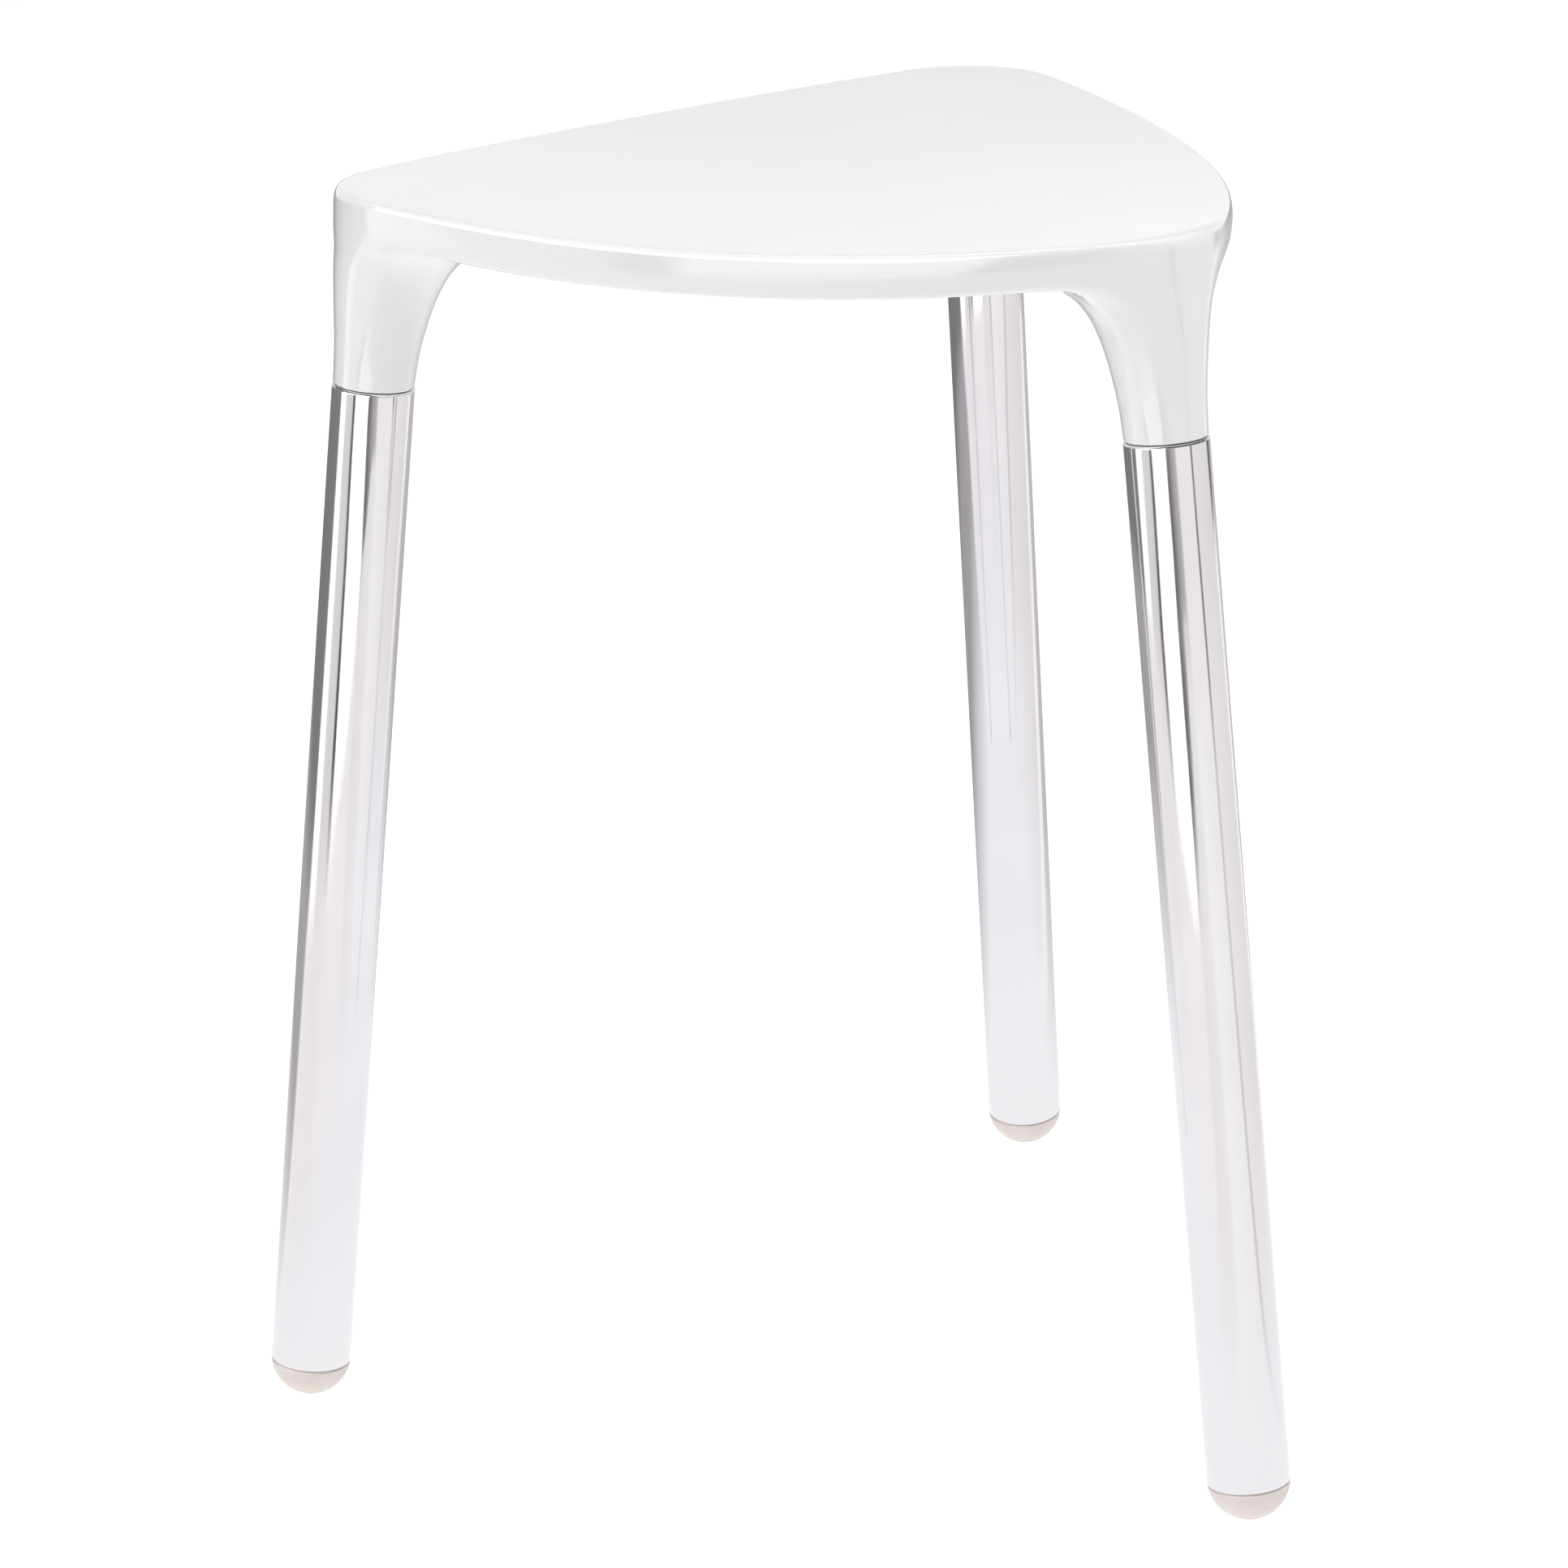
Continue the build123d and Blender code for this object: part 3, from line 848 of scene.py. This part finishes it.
# %% [markdown]
# ## Finishes
#
# Every finish is procedural, so it is worked out at any point of a surface, at its real scale in metres.
# Four effects come back in several finishes, and each is built once as a node group:
#
# - slow_mottle: two close colours in soft clouds, as in moulded or plated stock
# - haze: roughness between a clean and a hazy value, where hands and water have been
# - fine_grain: the height of a fine surface grain for a Bump node
# - drawn_lines: the height of faint lines along a length, left by drawing or buffing
#
# The groups give only values that change over the surface.  What is the same all over is set on the
# shader's own sockets.

# %% Node helpers


def group_tree(name, inputs, outputs):
    """A new node group; four numbers make a colour socket, and one number makes a value socket."""
    tree = bpy.data.node_groups.new(name, "ShaderNodeTree")
    add_socket = tree.interface.new_socket
    add_socket(name="Vector", in_out="INPUT", socket_type="NodeSocketVector")
    for label, value in inputs.items():
        kind = "NodeSocketFloat" if isinstance(value, float) else "NodeSocketColor"
        add_socket(name=label, in_out="INPUT", socket_type=kind).default_value = value
    for label in outputs:
        kind = "NodeSocketColor" if label == "Colour" else "NodeSocketFloat"
        add_socket(name=label, in_out="OUTPUT", socket_type=kind)
    return tree, tree.nodes.new("NodeGroupInput"), tree.nodes.new("NodeGroupOutput")


def feed(tree, socket, entry):
    """Give a node's socket a plain value, or wire another node's output to it."""
    if isinstance(entry, bpy.types.NodeSocket):
        tree.links.new(entry, socket)
    else:
        socket.default_value = entry


def noise(tree, vector, scale, detail=2.0, rough=0.5, distort=0.0):
    """A noise texture; any of its inputs may be a number or a socket."""
    node = tree.nodes.new("ShaderNodeTexNoise")
    labels = ("Vector", "Scale", "Detail", "Roughness", "Distortion")
    for label, entry in zip(labels, (vector, scale, detail, rough, distort)):
        feed(tree, node.inputs[label], entry)
    return node.outputs["Fac"]


def spread(tree, value, low, high, to_low, to_high):
    """Map a range of a value to another range, which may come from sockets."""
    node = tree.nodes.new("ShaderNodeMapRange")
    labels = ("Value", "From Min", "From Max", "To Min", "To Max")
    for label, entry in zip(labels, (value, low, high, to_low, to_high)):
        feed(tree, node.inputs[label], entry)
    return node.outputs["Result"]


def combine(tree, operation, *entries):
    """A Math node on values, each a number or a socket."""
    node = tree.nodes.new("ShaderNodeMath")
    node.operation = operation
    for socket, entry in zip(node.inputs, entries):
        feed(tree, socket, entry)
    return node.outputs["Value"]


def weigh(tree, first, second, share):
    """Two values in one, with this share of the first."""
    first = combine(tree, "MULTIPLY", first, share)
    return combine(tree, "ADD", first, combine(tree, "MULTIPLY", second, 1 - share))


def mix_colours(tree, share, first, second):
    """A Mix node on two colours; its sockets have one name for every kind, so they go by number."""
    node = tree.nodes.new("ShaderNodeMix")
    node.data_type = "RGBA"
    for index, entry in ((0, share), (6, first), (7, second)):
        feed(tree, node.inputs[index], entry)
    return node.outputs[2]


print("node helpers are ready")

# %% Slow mottle and haze
tree, inside, outside = group_tree(
    "slow_mottle",
    {"Scale": 20.0, "Main Colour": (0.8, 0.8, 0.8, 1), "Cloud Colour": (0.7, 0.7, 0.7, 1)},
    ("Colour", "Mask"),
)
mottle_tree, place, scale = tree, inside.outputs["Vector"], inside.outputs["Scale"]
mask = spread(tree, noise(tree, place, scale, 4.0, 0.55, 0.6), 0.36, 0.66, 0.0, 1.0)
tint = mix_colours(tree, mask, inside.outputs["Main Colour"], inside.outputs["Cloud Colour"])
tree.links.new(tint, outside.inputs["Colour"])
tree.links.new(mask, outside.inputs["Mask"])

tree, inside, outside = group_tree("haze", {"Scale": 15.0, "Clean": 0.1, "Hazy": 0.3}, ("Roughness",))
haze_tree, place, scale = tree, inside.outputs["Vector"], inside.outputs["Scale"]
patches = noise(tree, place, scale, 3.0, 0.6, 0.8)
smears = noise(tree, place, combine(tree, "MULTIPLY", scale, 9.0), 2.0)
mixed = weigh(tree, patches, smears, 0.75)
haze = spread(tree, mixed, 0.38, 0.66, inside.outputs["Clean"], inside.outputs["Hazy"])
tree.links.new(haze, outside.inputs["Roughness"])
print("groups for colour and roughness:", mottle_tree.name, haze_tree.name)

# %% Fine grain and drawn lines
LINE_STRETCH = 0.012  # a line is this much shorter across than along

tree, inside, outside = group_tree("fine_grain", {"Scale": 900.0, "Depth": 1.0}, ("Height",))
grain_tree, place, scale = tree, inside.outputs["Vector"], inside.outputs["Scale"]
cells = tree.nodes.new("ShaderNodeTexVoronoi")
cells.feature = "SMOOTH_F1"
tree.links.new(place, cells.inputs["Vector"])
tree.links.new(scale, cells.inputs["Scale"])
pits = weigh(tree, noise(tree, place, scale, 3.0, 0.6), cells.outputs["Distance"], 0.7)
tree.links.new(combine(tree, "MULTIPLY", pits, inside.outputs["Depth"]), outside.inputs["Height"])

tree, inside, outside = group_tree("drawn_lines", {"Scale": 1500.0, "Depth": 1.0}, ("Height",))
lines_tree = tree
squeeze = tree.nodes.new("ShaderNodeVectorMath")
squeeze.operation = "MULTIPLY"
squeeze.inputs[1].default_value = (1, 1, LINE_STRETCH)
tree.links.new(inside.outputs["Vector"], squeeze.inputs[0])
strokes = noise(tree, squeeze.outputs["Vector"], inside.outputs["Scale"], 2.0, 0.6)
tree.links.new(combine(tree, "MULTIPLY", strokes, inside.outputs["Depth"]), outside.inputs["Height"])
print("node groups:", [tree.name for tree in bpy.data.node_groups])

# %% [markdown]
# A finish starts the same way each time: a Principled shader, the place on the surface, and the groups
# wired to colour, roughness and bump.  The helper below does that wiring, and each finish adds its own
# values.

# %% The helper for one finish


def place_group(nodes, tree, x, y, **values):
    node = nodes.new("ShaderNodeGroup")
    node.node_tree = tree
    node.location = (x, y)
    for label, value in values.items():
        node.inputs[label.replace("_", " ")].default_value = value
    return node


def finish(name, place, mottle, hazing, grain, bump, constants):
    """Build a material; returns it with its Principled node and the node of each effect."""
    material = bpy.data.materials.new(name)
    material.use_nodes = True
    nodes, links = material.node_tree.nodes, material.node_tree.links
    shader = nodes["Principled BSDF"]
    for label, value in constants.items():
        shader.inputs[label].default_value = value
    if place == "leg_place":
        source = nodes.new("ShaderNodeAttribute")
        source.attribute_name = "leg_place"
        vector = source.outputs["Vector"]
    else:
        source = nodes.new("ShaderNodeTexCoord")
        vector = source.outputs["Object"]
    source.location = (-1100, 0)
    clouds = place_group(nodes, mottle_tree, -650, 300, **mottle)
    smear = place_group(nodes, haze_tree, -650, 0, **hazing)
    texture = place_group(nodes, grain_tree, -650, -250, **grain)
    relief = nodes.new("ShaderNodeBump")
    relief.location = (-250, -250)
    relief.inputs["Strength"].default_value = bump[0]
    relief.inputs["Distance"].default_value = bump[1]
    for node in (clouds, smear, texture):
        links.new(vector, node.inputs["Vector"])
    links.new(clouds.outputs["Colour"], shader.inputs["Base Color"])
    links.new(smear.outputs["Roughness"], shader.inputs["Roughness"])
    links.new(texture.outputs["Height"], relief.inputs["Height"])
    links.new(relief.outputs["Normal"], shader.inputs["Normal"])
    return material, shader, vector, clouds, smear, texture, relief


def dress(obj, material):
    """Give an object one finish in its first material slot."""
    if obj.data.materials:
        obj.data.materials[0] = material
    else:
        obj.data.materials.append(material)


print("the finish helper is ready")

# %% [markdown]
# **Seat.** The seat is a glossy white moulding.  Its colour is almost even, with slow clouds from the flow
# of the plastic.  A very faint orange-peel bump breaks up the reflections, as it does on every real
# moulding, and a little haze spreads the gloss.

# %% White moulding
white_moulding, *_ = finish(
    "white_moulding",
    "Object",
    dict(Scale=11.0, Main_Colour=(0.86, 0.85, 0.847, 1), Cloud_Colour=(0.84, 0.83, 0.83, 1)),
    dict(Scale=14.0, Clean=0.02, Hazy=0.06),
    dict(Scale=420.0, Depth=0.6),
    (0.25, 0.00004),
    {"IOR": 1.55, "Coat Weight": 1.0, "Coat Roughness": 0.02},
)
dress(seat, white_moulding)
dress(ribs, white_moulding)
print("white_moulding:", len(white_moulding.node_tree.nodes), "nodes, on the seat and its ribs")

# %% [markdown]
# **Tubes.** Bright nickel-chrome plate on polished steel.  It mirrors the studio, so its look is made by
# the lights.  The finish only adds what breaks the mirror: faint lines from drawing the tube, a slight
# haze, and a cool cast that changes a little along the leg.

# %% Bright plate
bright_plate, _, vector, _, _, texture, relief = finish(
    "bright_plate",
    "leg_place",
    dict(Scale=7.0, Main_Colour=(0.87, 0.865, 0.875, 1), Cloud_Colour=(0.82, 0.81, 0.83, 1)),
    dict(Scale=26.0, Clean=0.045, Hazy=0.12),
    dict(Scale=600.0, Depth=0.25),
    (0.12, 0.00003),
    {"Metallic": 1.0},
)
tree = bright_plate.node_tree
lines = place_group(tree.nodes, lines_tree, -650, -500, Scale=1400.0, Depth=1.0)
tree.links.new(vector, lines.inputs["Vector"])
height = combine(tree, "ADD", texture.outputs["Height"], lines.outputs["Height"])
tree.links.new(height, relief.inputs["Height"])
for piece in tubes:
    dress(piece, bright_plate)
print("bright_plate:", len(tree.nodes), "nodes, on", len(tubes), "tubes")

# %% [markdown]
# **Feet.** A pale warm rubber with a satin skin.  It has a fine grain, slightly uneven colour, and it is
# scuffed where it rubs the floor.

# %% Foot rubber
SCUFF_HEIGHT = 3.5 * mm
SCUFF_COLOUR = (0.36, 0.34, 0.32, 1)
foot_rubber, shader, vector, clouds, *_ = finish(
    "foot_rubber",
    "Object",
    dict(Scale=140.0, Main_Colour=(0.79, 0.715, 0.69, 1), Cloud_Colour=(0.74, 0.665, 0.635, 1)),
    dict(Scale=90.0, Clean=0.38, Hazy=0.58),
    dict(Scale=2600.0, Depth=1.0),
    (0.35, 0.00008),
    {"IOR": 1.5, "Subsurface Weight": 0.08, "Subsurface Scale": 0.004},
)
tree = foot_rubber.node_tree
split = tree.nodes.new("ShaderNodeSeparateXYZ")
tree.links.new(vector, split.inputs["Vector"])
worn = spread(tree, split.outputs["Z"], 0.0, SCUFF_HEIGHT, 0.8, 0.0)
patchy = combine(tree, "MULTIPLY", worn, clouds.outputs["Mask"])
scuffed = mix_colours(tree, patchy, clouds.outputs["Colour"], SCUFF_COLOUR)
tree.links.new(scuffed, shader.inputs["Base Color"])
for piece in feet:
    dress(piece, foot_rubber)
print("foot_rubber:", len(tree.nodes), "nodes, scuffed below", round(SCUFF_HEIGHT / mm, 1), "mm")

# %% [markdown]
# **Fixings.** The plug's thin flange shows as the dark line between collar and tube, so the plug is a dark
# nylon.  The insert and the stud are hidden inside the joint, and they still get the finish such parts
# have: turned brass and zinc-plated steel.

# %% Nylon, brass and zinc
plug_nylon, *_ = finish(
    "plug_nylon",
    "Object",
    dict(Scale=120.0, Main_Colour=(0.06, 0.056, 0.054, 1), Cloud_Colour=(0.085, 0.08, 0.076, 1)),
    dict(Scale=100.0, Clean=0.42, Hazy=0.6),
    dict(Scale=2200.0, Depth=1.0),
    (0.3, 0.00006),
    {"IOR": 1.53},
)
turned_brass, *_ = finish(
    "turned_brass",
    "Object",
    dict(Scale=160.0, Main_Colour=(0.74, 0.55, 0.27, 1), Cloud_Colour=(0.58, 0.40, 0.20, 1)),
    dict(Scale=150.0, Clean=0.2, Hazy=0.38),
    dict(Scale=1800.0, Depth=0.5),
    (0.2, 0.00003),
    {"Metallic": 1.0},
)
zinc_steel, *_ = finish(
    "zinc_steel",
    "Object",
    dict(Scale=240.0, Main_Colour=(0.66, 0.67, 0.69, 1), Cloud_Colour=(0.52, 0.53, 0.56, 1)),
    dict(Scale=200.0, Clean=0.26, Hazy=0.44),
    dict(Scale=1500.0, Depth=0.6),
    (0.2, 0.00003),
    {"Metallic": 1.0},
)
inner_finishes = {"leg_plug": plug_nylon, "socket_insert": turned_brass, "leg_stud": zinc_steel}
for leg in LEG_ORDER:
    for node, material in inner_finishes.items():
        dress(frame["nodes"][f"{node}_{leg}"], material)
print("finishes inside the joints:", [material.name for material in inner_finishes.values()])

# %% [markdown]
# ## Studio
#
# A white stool on a white floor needs something darker to mirror, or its plated legs vanish.  A studio
# puts grey and black cards round such an object, just out of view.  The floor here is plain and
# white, and a second disc that only mirror-like surfaces can see plays the part of those cards.

# %% Floor
CAMERA_HEADING = math.radians(-20.271)
facing = Vector((math.sin(CAMERA_HEADING), math.cos(CAMERA_HEADING), 0))
FLOOR_SIZE = 14.0
FLOOR_GLOW = 0.88
bpy.ops.object.select_all(action="DESELECT")
bpy.ops.mesh.primitive_plane_add(size=FLOOR_SIZE)
floor = name_it(bpy.context.object, "floor")
floor_white, *_ = finish(
    "floor_white",
    "Object",
    dict(Scale=2.0, Main_Colour=(0.30, 0.30, 0.30, 1), Cloud_Colour=(0.29, 0.29, 0.29, 1)),
    dict(Scale=3.0, Clean=0.6, Hazy=0.7),
    dict(Scale=200.0, Depth=0.3),
    (0.05, 0.0001),
    {"Specular IOR Level": 0.2, "Emission Color": (1, 1, 1, 1), "Emission Strength": FLOOR_GLOW},
)
dress(floor, floor_white)
print("floor:", FLOOR_SIZE, "m wide")

# %% [markdown]
# The disc below is the set of cards.  Its brightness changes with the heading seen from the stool, as
# bands: the dark space where the camera stands, lit panels to its left and right, and dim corners at the
# back.  The first list is the far part, past a metre, which only the upper ends of the legs mirror.  The
# second is the near part, with the same bands much paler.

# %% The bands, as headings and levels
CARD_RADIUS = 12.0
CARD_WALL = 6.0  # height of the wall round the disc
# How high the bands climb the wall, in metres, by heading; the backdrop is plain above.
BAND_TOP = [(-180, 0.4), (-140, 0.4), (-120, 2.2), (120, 2.2), (140, 0.4), (180, 0.4)]
FAR_BANDS = [
    (-180, 0.20), (-94, 0.24), (-90, 1.5), (-76, 1.3), (-72, 0.8), (-53, 0.78), (-50, 0.10), (-46, 0.10),
    (-42, 1.8), (-10, 1.8), (-7, 0.16), (-3, 0.20), (2, 0.34), (8, 0.46), (15, 0.55), (19, 0.96),
    (57, 0.97), (60, 0.15), (62, 0.15), (65, 0.9), (120, 0.82), (124, 0.12), (130, 0.12), (134, 0.45),
    (180, 0.35),
]
NEAR_BANDS = [
    (-180, 0.36), (-98, 0.46), (-92, 0.99), (-84, 0.95), (-60, 0.93), (-42, 0.98), (-10, 0.98),
    (-5, 0.90), (14, 0.94), (20, 1.0), (57, 0.97), (60, 0.66), (62, 0.66), (65, 0.92), (118, 0.85),
    (124, 1.05), (130, 1.05), (136, 0.60), (180, 0.50),
]
# How far out the far bands begin, in metres, by heading.
BAND_EDGE = [(-180, 0.95), (-20, 1.05), (-6, 1.25), (0, 1.5), (4, 2.0), (9, 3.0), (22, 2.4), (180, 2.0)]
CARD_TINT = (1.0, 0.965, 0.985)  # the dimmer bands are a little pink
UNDER_STOOL = (0.99, 0.98, 1.0, 1)  # the floor close to the feet
BACKDROP_START = 0.5  # metres up the wall
BACKDROP_LOW, BACKDROP_HIGH = 1.0, 0.34  # brightness of the plain backdrop, at its foot and its top
print("mirror cards:", len(FAR_BANDS), "stops far out and", len(NEAR_BANDS), "close in")

# %% [markdown]
# The cards are one emission shader.  It finds the heading and distance of each point from its Object
# coordinates, and looks them up in colour ramps made from the lists above.

# %% The light of the mirror cards
cards_look = bpy.data.materials.new("mirror_cards")
cards_look.use_nodes = True
tree = cards_look.node_tree
tree.nodes.clear()
where = tree.nodes.new("ShaderNodeTexCoord")
split = tree.nodes.new("ShaderNodeSeparateXYZ")
tree.links.new(where.outputs["Object"], split.inputs["Vector"])
leftward = combine(tree, "MULTIPLY", split.outputs["X"], -1.0)
heading = combine(tree, "ARCTAN2", leftward, split.outputs["Y"])
share = spread(tree, heading, -math.pi, math.pi, 0.0, 1.0)


def bands(stops, tint):
    """A colour ramp over the headings, from a list of (degrees, level)."""
    ramp = tree.nodes.new("ShaderNodeValToRGB")
    tree.links.new(share, ramp.inputs["Fac"])
    elements = ramp.color_ramp.elements
    while len(elements) < len(stops):
        elements.new(0.5)
    for element, (degrees, level) in zip(elements, stops):
        element.position = (degrees + 180) / 360
        element.color = (*(level * (t if level < 1 else 1) for t in tint), 1)
    return ramp.outputs["Color"]


# The bands near the stool fade into the far ones with distance, and into the backdrop with height.
reach = tree.nodes.new("ShaderNodeVectorMath")
reach.operation = "LENGTH"
tree.links.new(where.outputs["Object"], reach.inputs[0])
beyond = combine(tree, "DIVIDE", reach.outputs["Value"], bands(BAND_EDGE, (1, 1, 1)))
farness = spread(tree, beyond, 0.9, 1.2, 0.0, 1.0)
nearness = spread(tree, reach.outputs["Value"], 0.22, 0.6, 0.0, 1.0)
near = mix_colours(tree, nearness, UNDER_STOOL, bands(NEAR_BANDS, CARD_TINT))
flat = mix_colours(tree, farness, near, bands(FAR_BANDS, CARD_TINT))
climb = combine(tree, "DIVIDE", split.outputs["Z"], bands(BAND_TOP, (1, 1, 1)))
above = spread(tree, climb, 1.0, 1.3, 0.0, 1.0)
backdrop = spread(tree, split.outputs["Z"], BACKDROP_START, CARD_WALL, BACKDROP_LOW, BACKDROP_HIGH)
light = mix_colours(tree, above, flat, backdrop)
glow = tree.nodes.new("ShaderNodeEmission")
tree.links.new(light, glow.inputs["Color"])
output = tree.nodes.new("ShaderNodeOutputMaterial")
tree.links.new(glow.outputs["Emission"], output.inputs["Surface"])
print("mirror_cards:", len(tree.nodes), "nodes")

# %% The disc and wall of the mirror cards
bpy.ops.object.select_all(action="DESELECT")
bpy.ops.mesh.primitive_circle_add(
    vertices=96,
    radius=CARD_RADIUS,
    fill_type="NGON",
    location=(AXIS.x, AXIS.y, 0.05 * mm),
    rotation=(0, 0, math.pi - CAMERA_HEADING),
)
cards = name_it(bpy.context.object, "mirror_cards")
edit(cards)
bpy.ops.mesh.select_mode(type="EDGE")
bpy.ops.mesh.select_all(action="DESELECT")
bpy.ops.mesh.select_non_manifold()
bpy.ops.mesh.extrude_edges_move(TRANSFORM_OT_translate={"value": (0, 0, CARD_WALL)})
leave()
dress(cards, cards_look)
print("cards:", len(cards.data.polygons), "faces")

# %% [markdown]
# One more card hangs high at the left front.  The skirt turns upward just under the seat's top edge, so
# that narrow turn mirrors the card as a bright strip.  Such a panel draws an edge that would vanish
# otherwise, white on white.

# %% The bright panel
PANEL_HEADING, PANEL_REACH, PANEL_HEIGHT = math.radians(-48), 1.9, 1.35
PANEL_SIZE = (3.2, 1.1)
PANEL_GLOW = 5.5
panel_turn = CAMERA_HEADING + math.pi - PANEL_HEADING
panel_place = AXIS + Vector((math.sin(panel_turn), math.cos(panel_turn), 0)) * PANEL_REACH
panel_place.z = PANEL_HEIGHT
bpy.ops.object.select_all(action="DESELECT")
bpy.ops.mesh.primitive_plane_add(size=1, location=panel_place)
panel = name_it(bpy.context.object, "bright_panel")
panel.scale = (*PANEL_SIZE, 1)
to_seat = AXIS + Vector((0, 0, SEAT_HEIGHT)) - panel_place
panel.rotation_euler = to_seat.to_track_quat("Z", "Y").to_euler()
panel_look = bpy.data.materials.new("bright_panel")
panel_look.use_nodes = True
shader = panel_look.node_tree.nodes["Principled BSDF"]
shader.inputs["Emission Color"].default_value = (1.0, 0.985, 0.95, 1)
shader.inputs["Emission Strength"].default_value = PANEL_GLOW
dress(panel, panel_look)
for card in (cards, panel):
    card.visible_camera = False
    card.visible_diffuse = False
    card.visible_shadow = False
    card.visible_transmission = False
print("bright panel", PANEL_SIZE, "m, seen only in reflections")

# %% [markdown]
# **Camera.** A long lens from about two metres keeps the legs almost parallel, with little perspective.
# It stands a little above the seat, so the dished top and one long side show together.  The camera's
# three axes are worked out from its heading, its downward tilt and a slight roll.

# %% Camera
CAMERA_PLACE = Vector((607.1, -1709.6, 812.6)) * mm + Vector((AXIS.x, AXIS.y, 0))
CAMERA_DOWN = math.radians(18.315)
CAMERA_ROLL = math.radians(-1.409)
CAMERA_LENS = 125.05
forward = facing * math.cos(CAMERA_DOWN) - Vector((0, 0, math.sin(CAMERA_DOWN)))
level_right = forward.cross(Vector((0, 0, 1))).normalized()
level_up = level_right.cross(forward)
right = level_right * math.cos(CAMERA_ROLL) + level_up * math.sin(CAMERA_ROLL)
upward = level_up * math.cos(CAMERA_ROLL) - level_right * math.sin(CAMERA_ROLL)
camera_data = bpy.data.cameras.new("camera")
camera_data.lens = CAMERA_LENS
camera_data.sensor_width = 36
camera = bpy.data.objects.new("camera", camera_data)
bpy.context.collection.objects.link(camera)
stance = Matrix((right, upward, -forward)).transposed().to_4x4()
camera.matrix_world = Matrix.Translation(CAMERA_PLACE) @ stance
bpy.context.scene.camera = camera
print("camera", round((CAMERA_PLACE - AXIS).length, 3), "m from the foot of the axis")

# %% [markdown]
# **Lights.** Large soft lamps leave no hard shadow on a white object.  The widest hangs overhead and is
# the brightest, so the top reads lighter than the sides.  A weaker one at the left models the skirt, and a
# faint warm one fills the right.  None of them shows in the plate: the cards take care of that.

# %% Lights
AIM = AXIS + Vector((0, 0, 0.3))  # the lamps face a point at mid-height


def soft_light(name, heading, distance, height, width, tall, power, colour=(1, 1, 1)):
    """An area light facing the stool; its heading is 0 at the camera, and negative to the left of it."""
    turn = CAMERA_HEADING + math.pi - math.radians(heading)
    place = AXIS + Vector((math.sin(turn), math.cos(turn), 0)) * distance + Vector((0, 0, height))
    lamp_data = bpy.data.lights.new(name, "AREA")
    lamp_data.shape = "RECTANGLE"
    lamp_data.size = width
    lamp_data.size_y = tall
    lamp_data.energy = power
    lamp_data.color = colour
    lamp = bpy.data.objects.new(name, lamp_data)
    lamp.location = place
    lamp.rotation_euler = (AIM - place).to_track_quat("-Z", "Y").to_euler()
    bpy.context.collection.objects.link(lamp)
    return lamp


lamps = [
    soft_light("overhead", 60, 0.5, 2.4, 2.4, 2.4, 61),
    soft_light("key_left", -70, 1.9, 1.2, 1.8, 1.0, 14),
    soft_light("fill_right", 75, 1.5, 1.6, 1.0, 1.0, 1.5, (1.0, 0.985, 0.95)),
]
for lamp in lamps:
    lamp.visible_glossy = False  # the cards draw all reflections, so the lamps stay out of them
print("lamps:", {lamp.name: lamp.data.energy for lamp in lamps})

# %% [markdown]
# **World.** The sky gives a dim even light from all round.  Rays that come straight from the camera see
# plain white instead, so the background is clean.  The Light Path node tells the two kinds of ray apart.

# %% World
SKY_STRENGTH = 0.24
BACKGROUND_STRENGTH = 1.2
world = bpy.data.worlds.new("studio")
bpy.context.scene.world = world
world.use_nodes = True
tree = world.node_tree
background = tree.nodes["Background"]
where = tree.nodes.new("ShaderNodeTexCoord")
split = tree.nodes.new("ShaderNodeSeparateXYZ")
ramp = tree.nodes.new("ShaderNodeValToRGB")
ramp.color_ramp.elements[0].position = 0.0
ramp.color_ramp.elements[0].color = (0.06, 0.055, 0.07, 1)
ramp.color_ramp.elements[1].position = 1.0
ramp.color_ramp.elements[1].color = (0.7, 0.7, 0.71, 1)
for position, level in ((0.47, 0.6), (0.53, 0.8), (0.68, 0.7)):
    stop = ramp.color_ramp.elements.new(position)
    stop.color = (level, level, level, 1)
lift = combine(tree, "MULTIPLY_ADD", split.outputs["Z"], 0.5, 0.5)
tree.links.new(where.outputs["Generated"], split.inputs["Vector"])
tree.links.new(lift, ramp.inputs["Fac"])
white = tree.nodes.new("ShaderNodeBackground")
white.inputs["Color"].default_value = (1, 1, 1, 1)
white.inputs["Strength"].default_value = BACKGROUND_STRENGTH
rays = tree.nodes.new("ShaderNodeLightPath")
choose = tree.nodes.new("ShaderNodeMixShader")
background.inputs["Strength"].default_value = SKY_STRENGTH
tree.links.new(ramp.outputs["Color"], background.inputs["Color"])
tree.links.new(rays.outputs["Is Camera Ray"], choose.inputs[0])
tree.links.new(background.outputs["Background"], choose.inputs[1])
tree.links.new(white.outputs["Background"], choose.inputs[2])
tree.links.new(choose.outputs["Shader"], tree.nodes["World Output"].inputs["Surface"])
bpy.context.scene.view_settings.view_transform = "Standard"
bpy.context.scene.view_settings.look = "None"
print("world:", len(tree.nodes), "nodes")
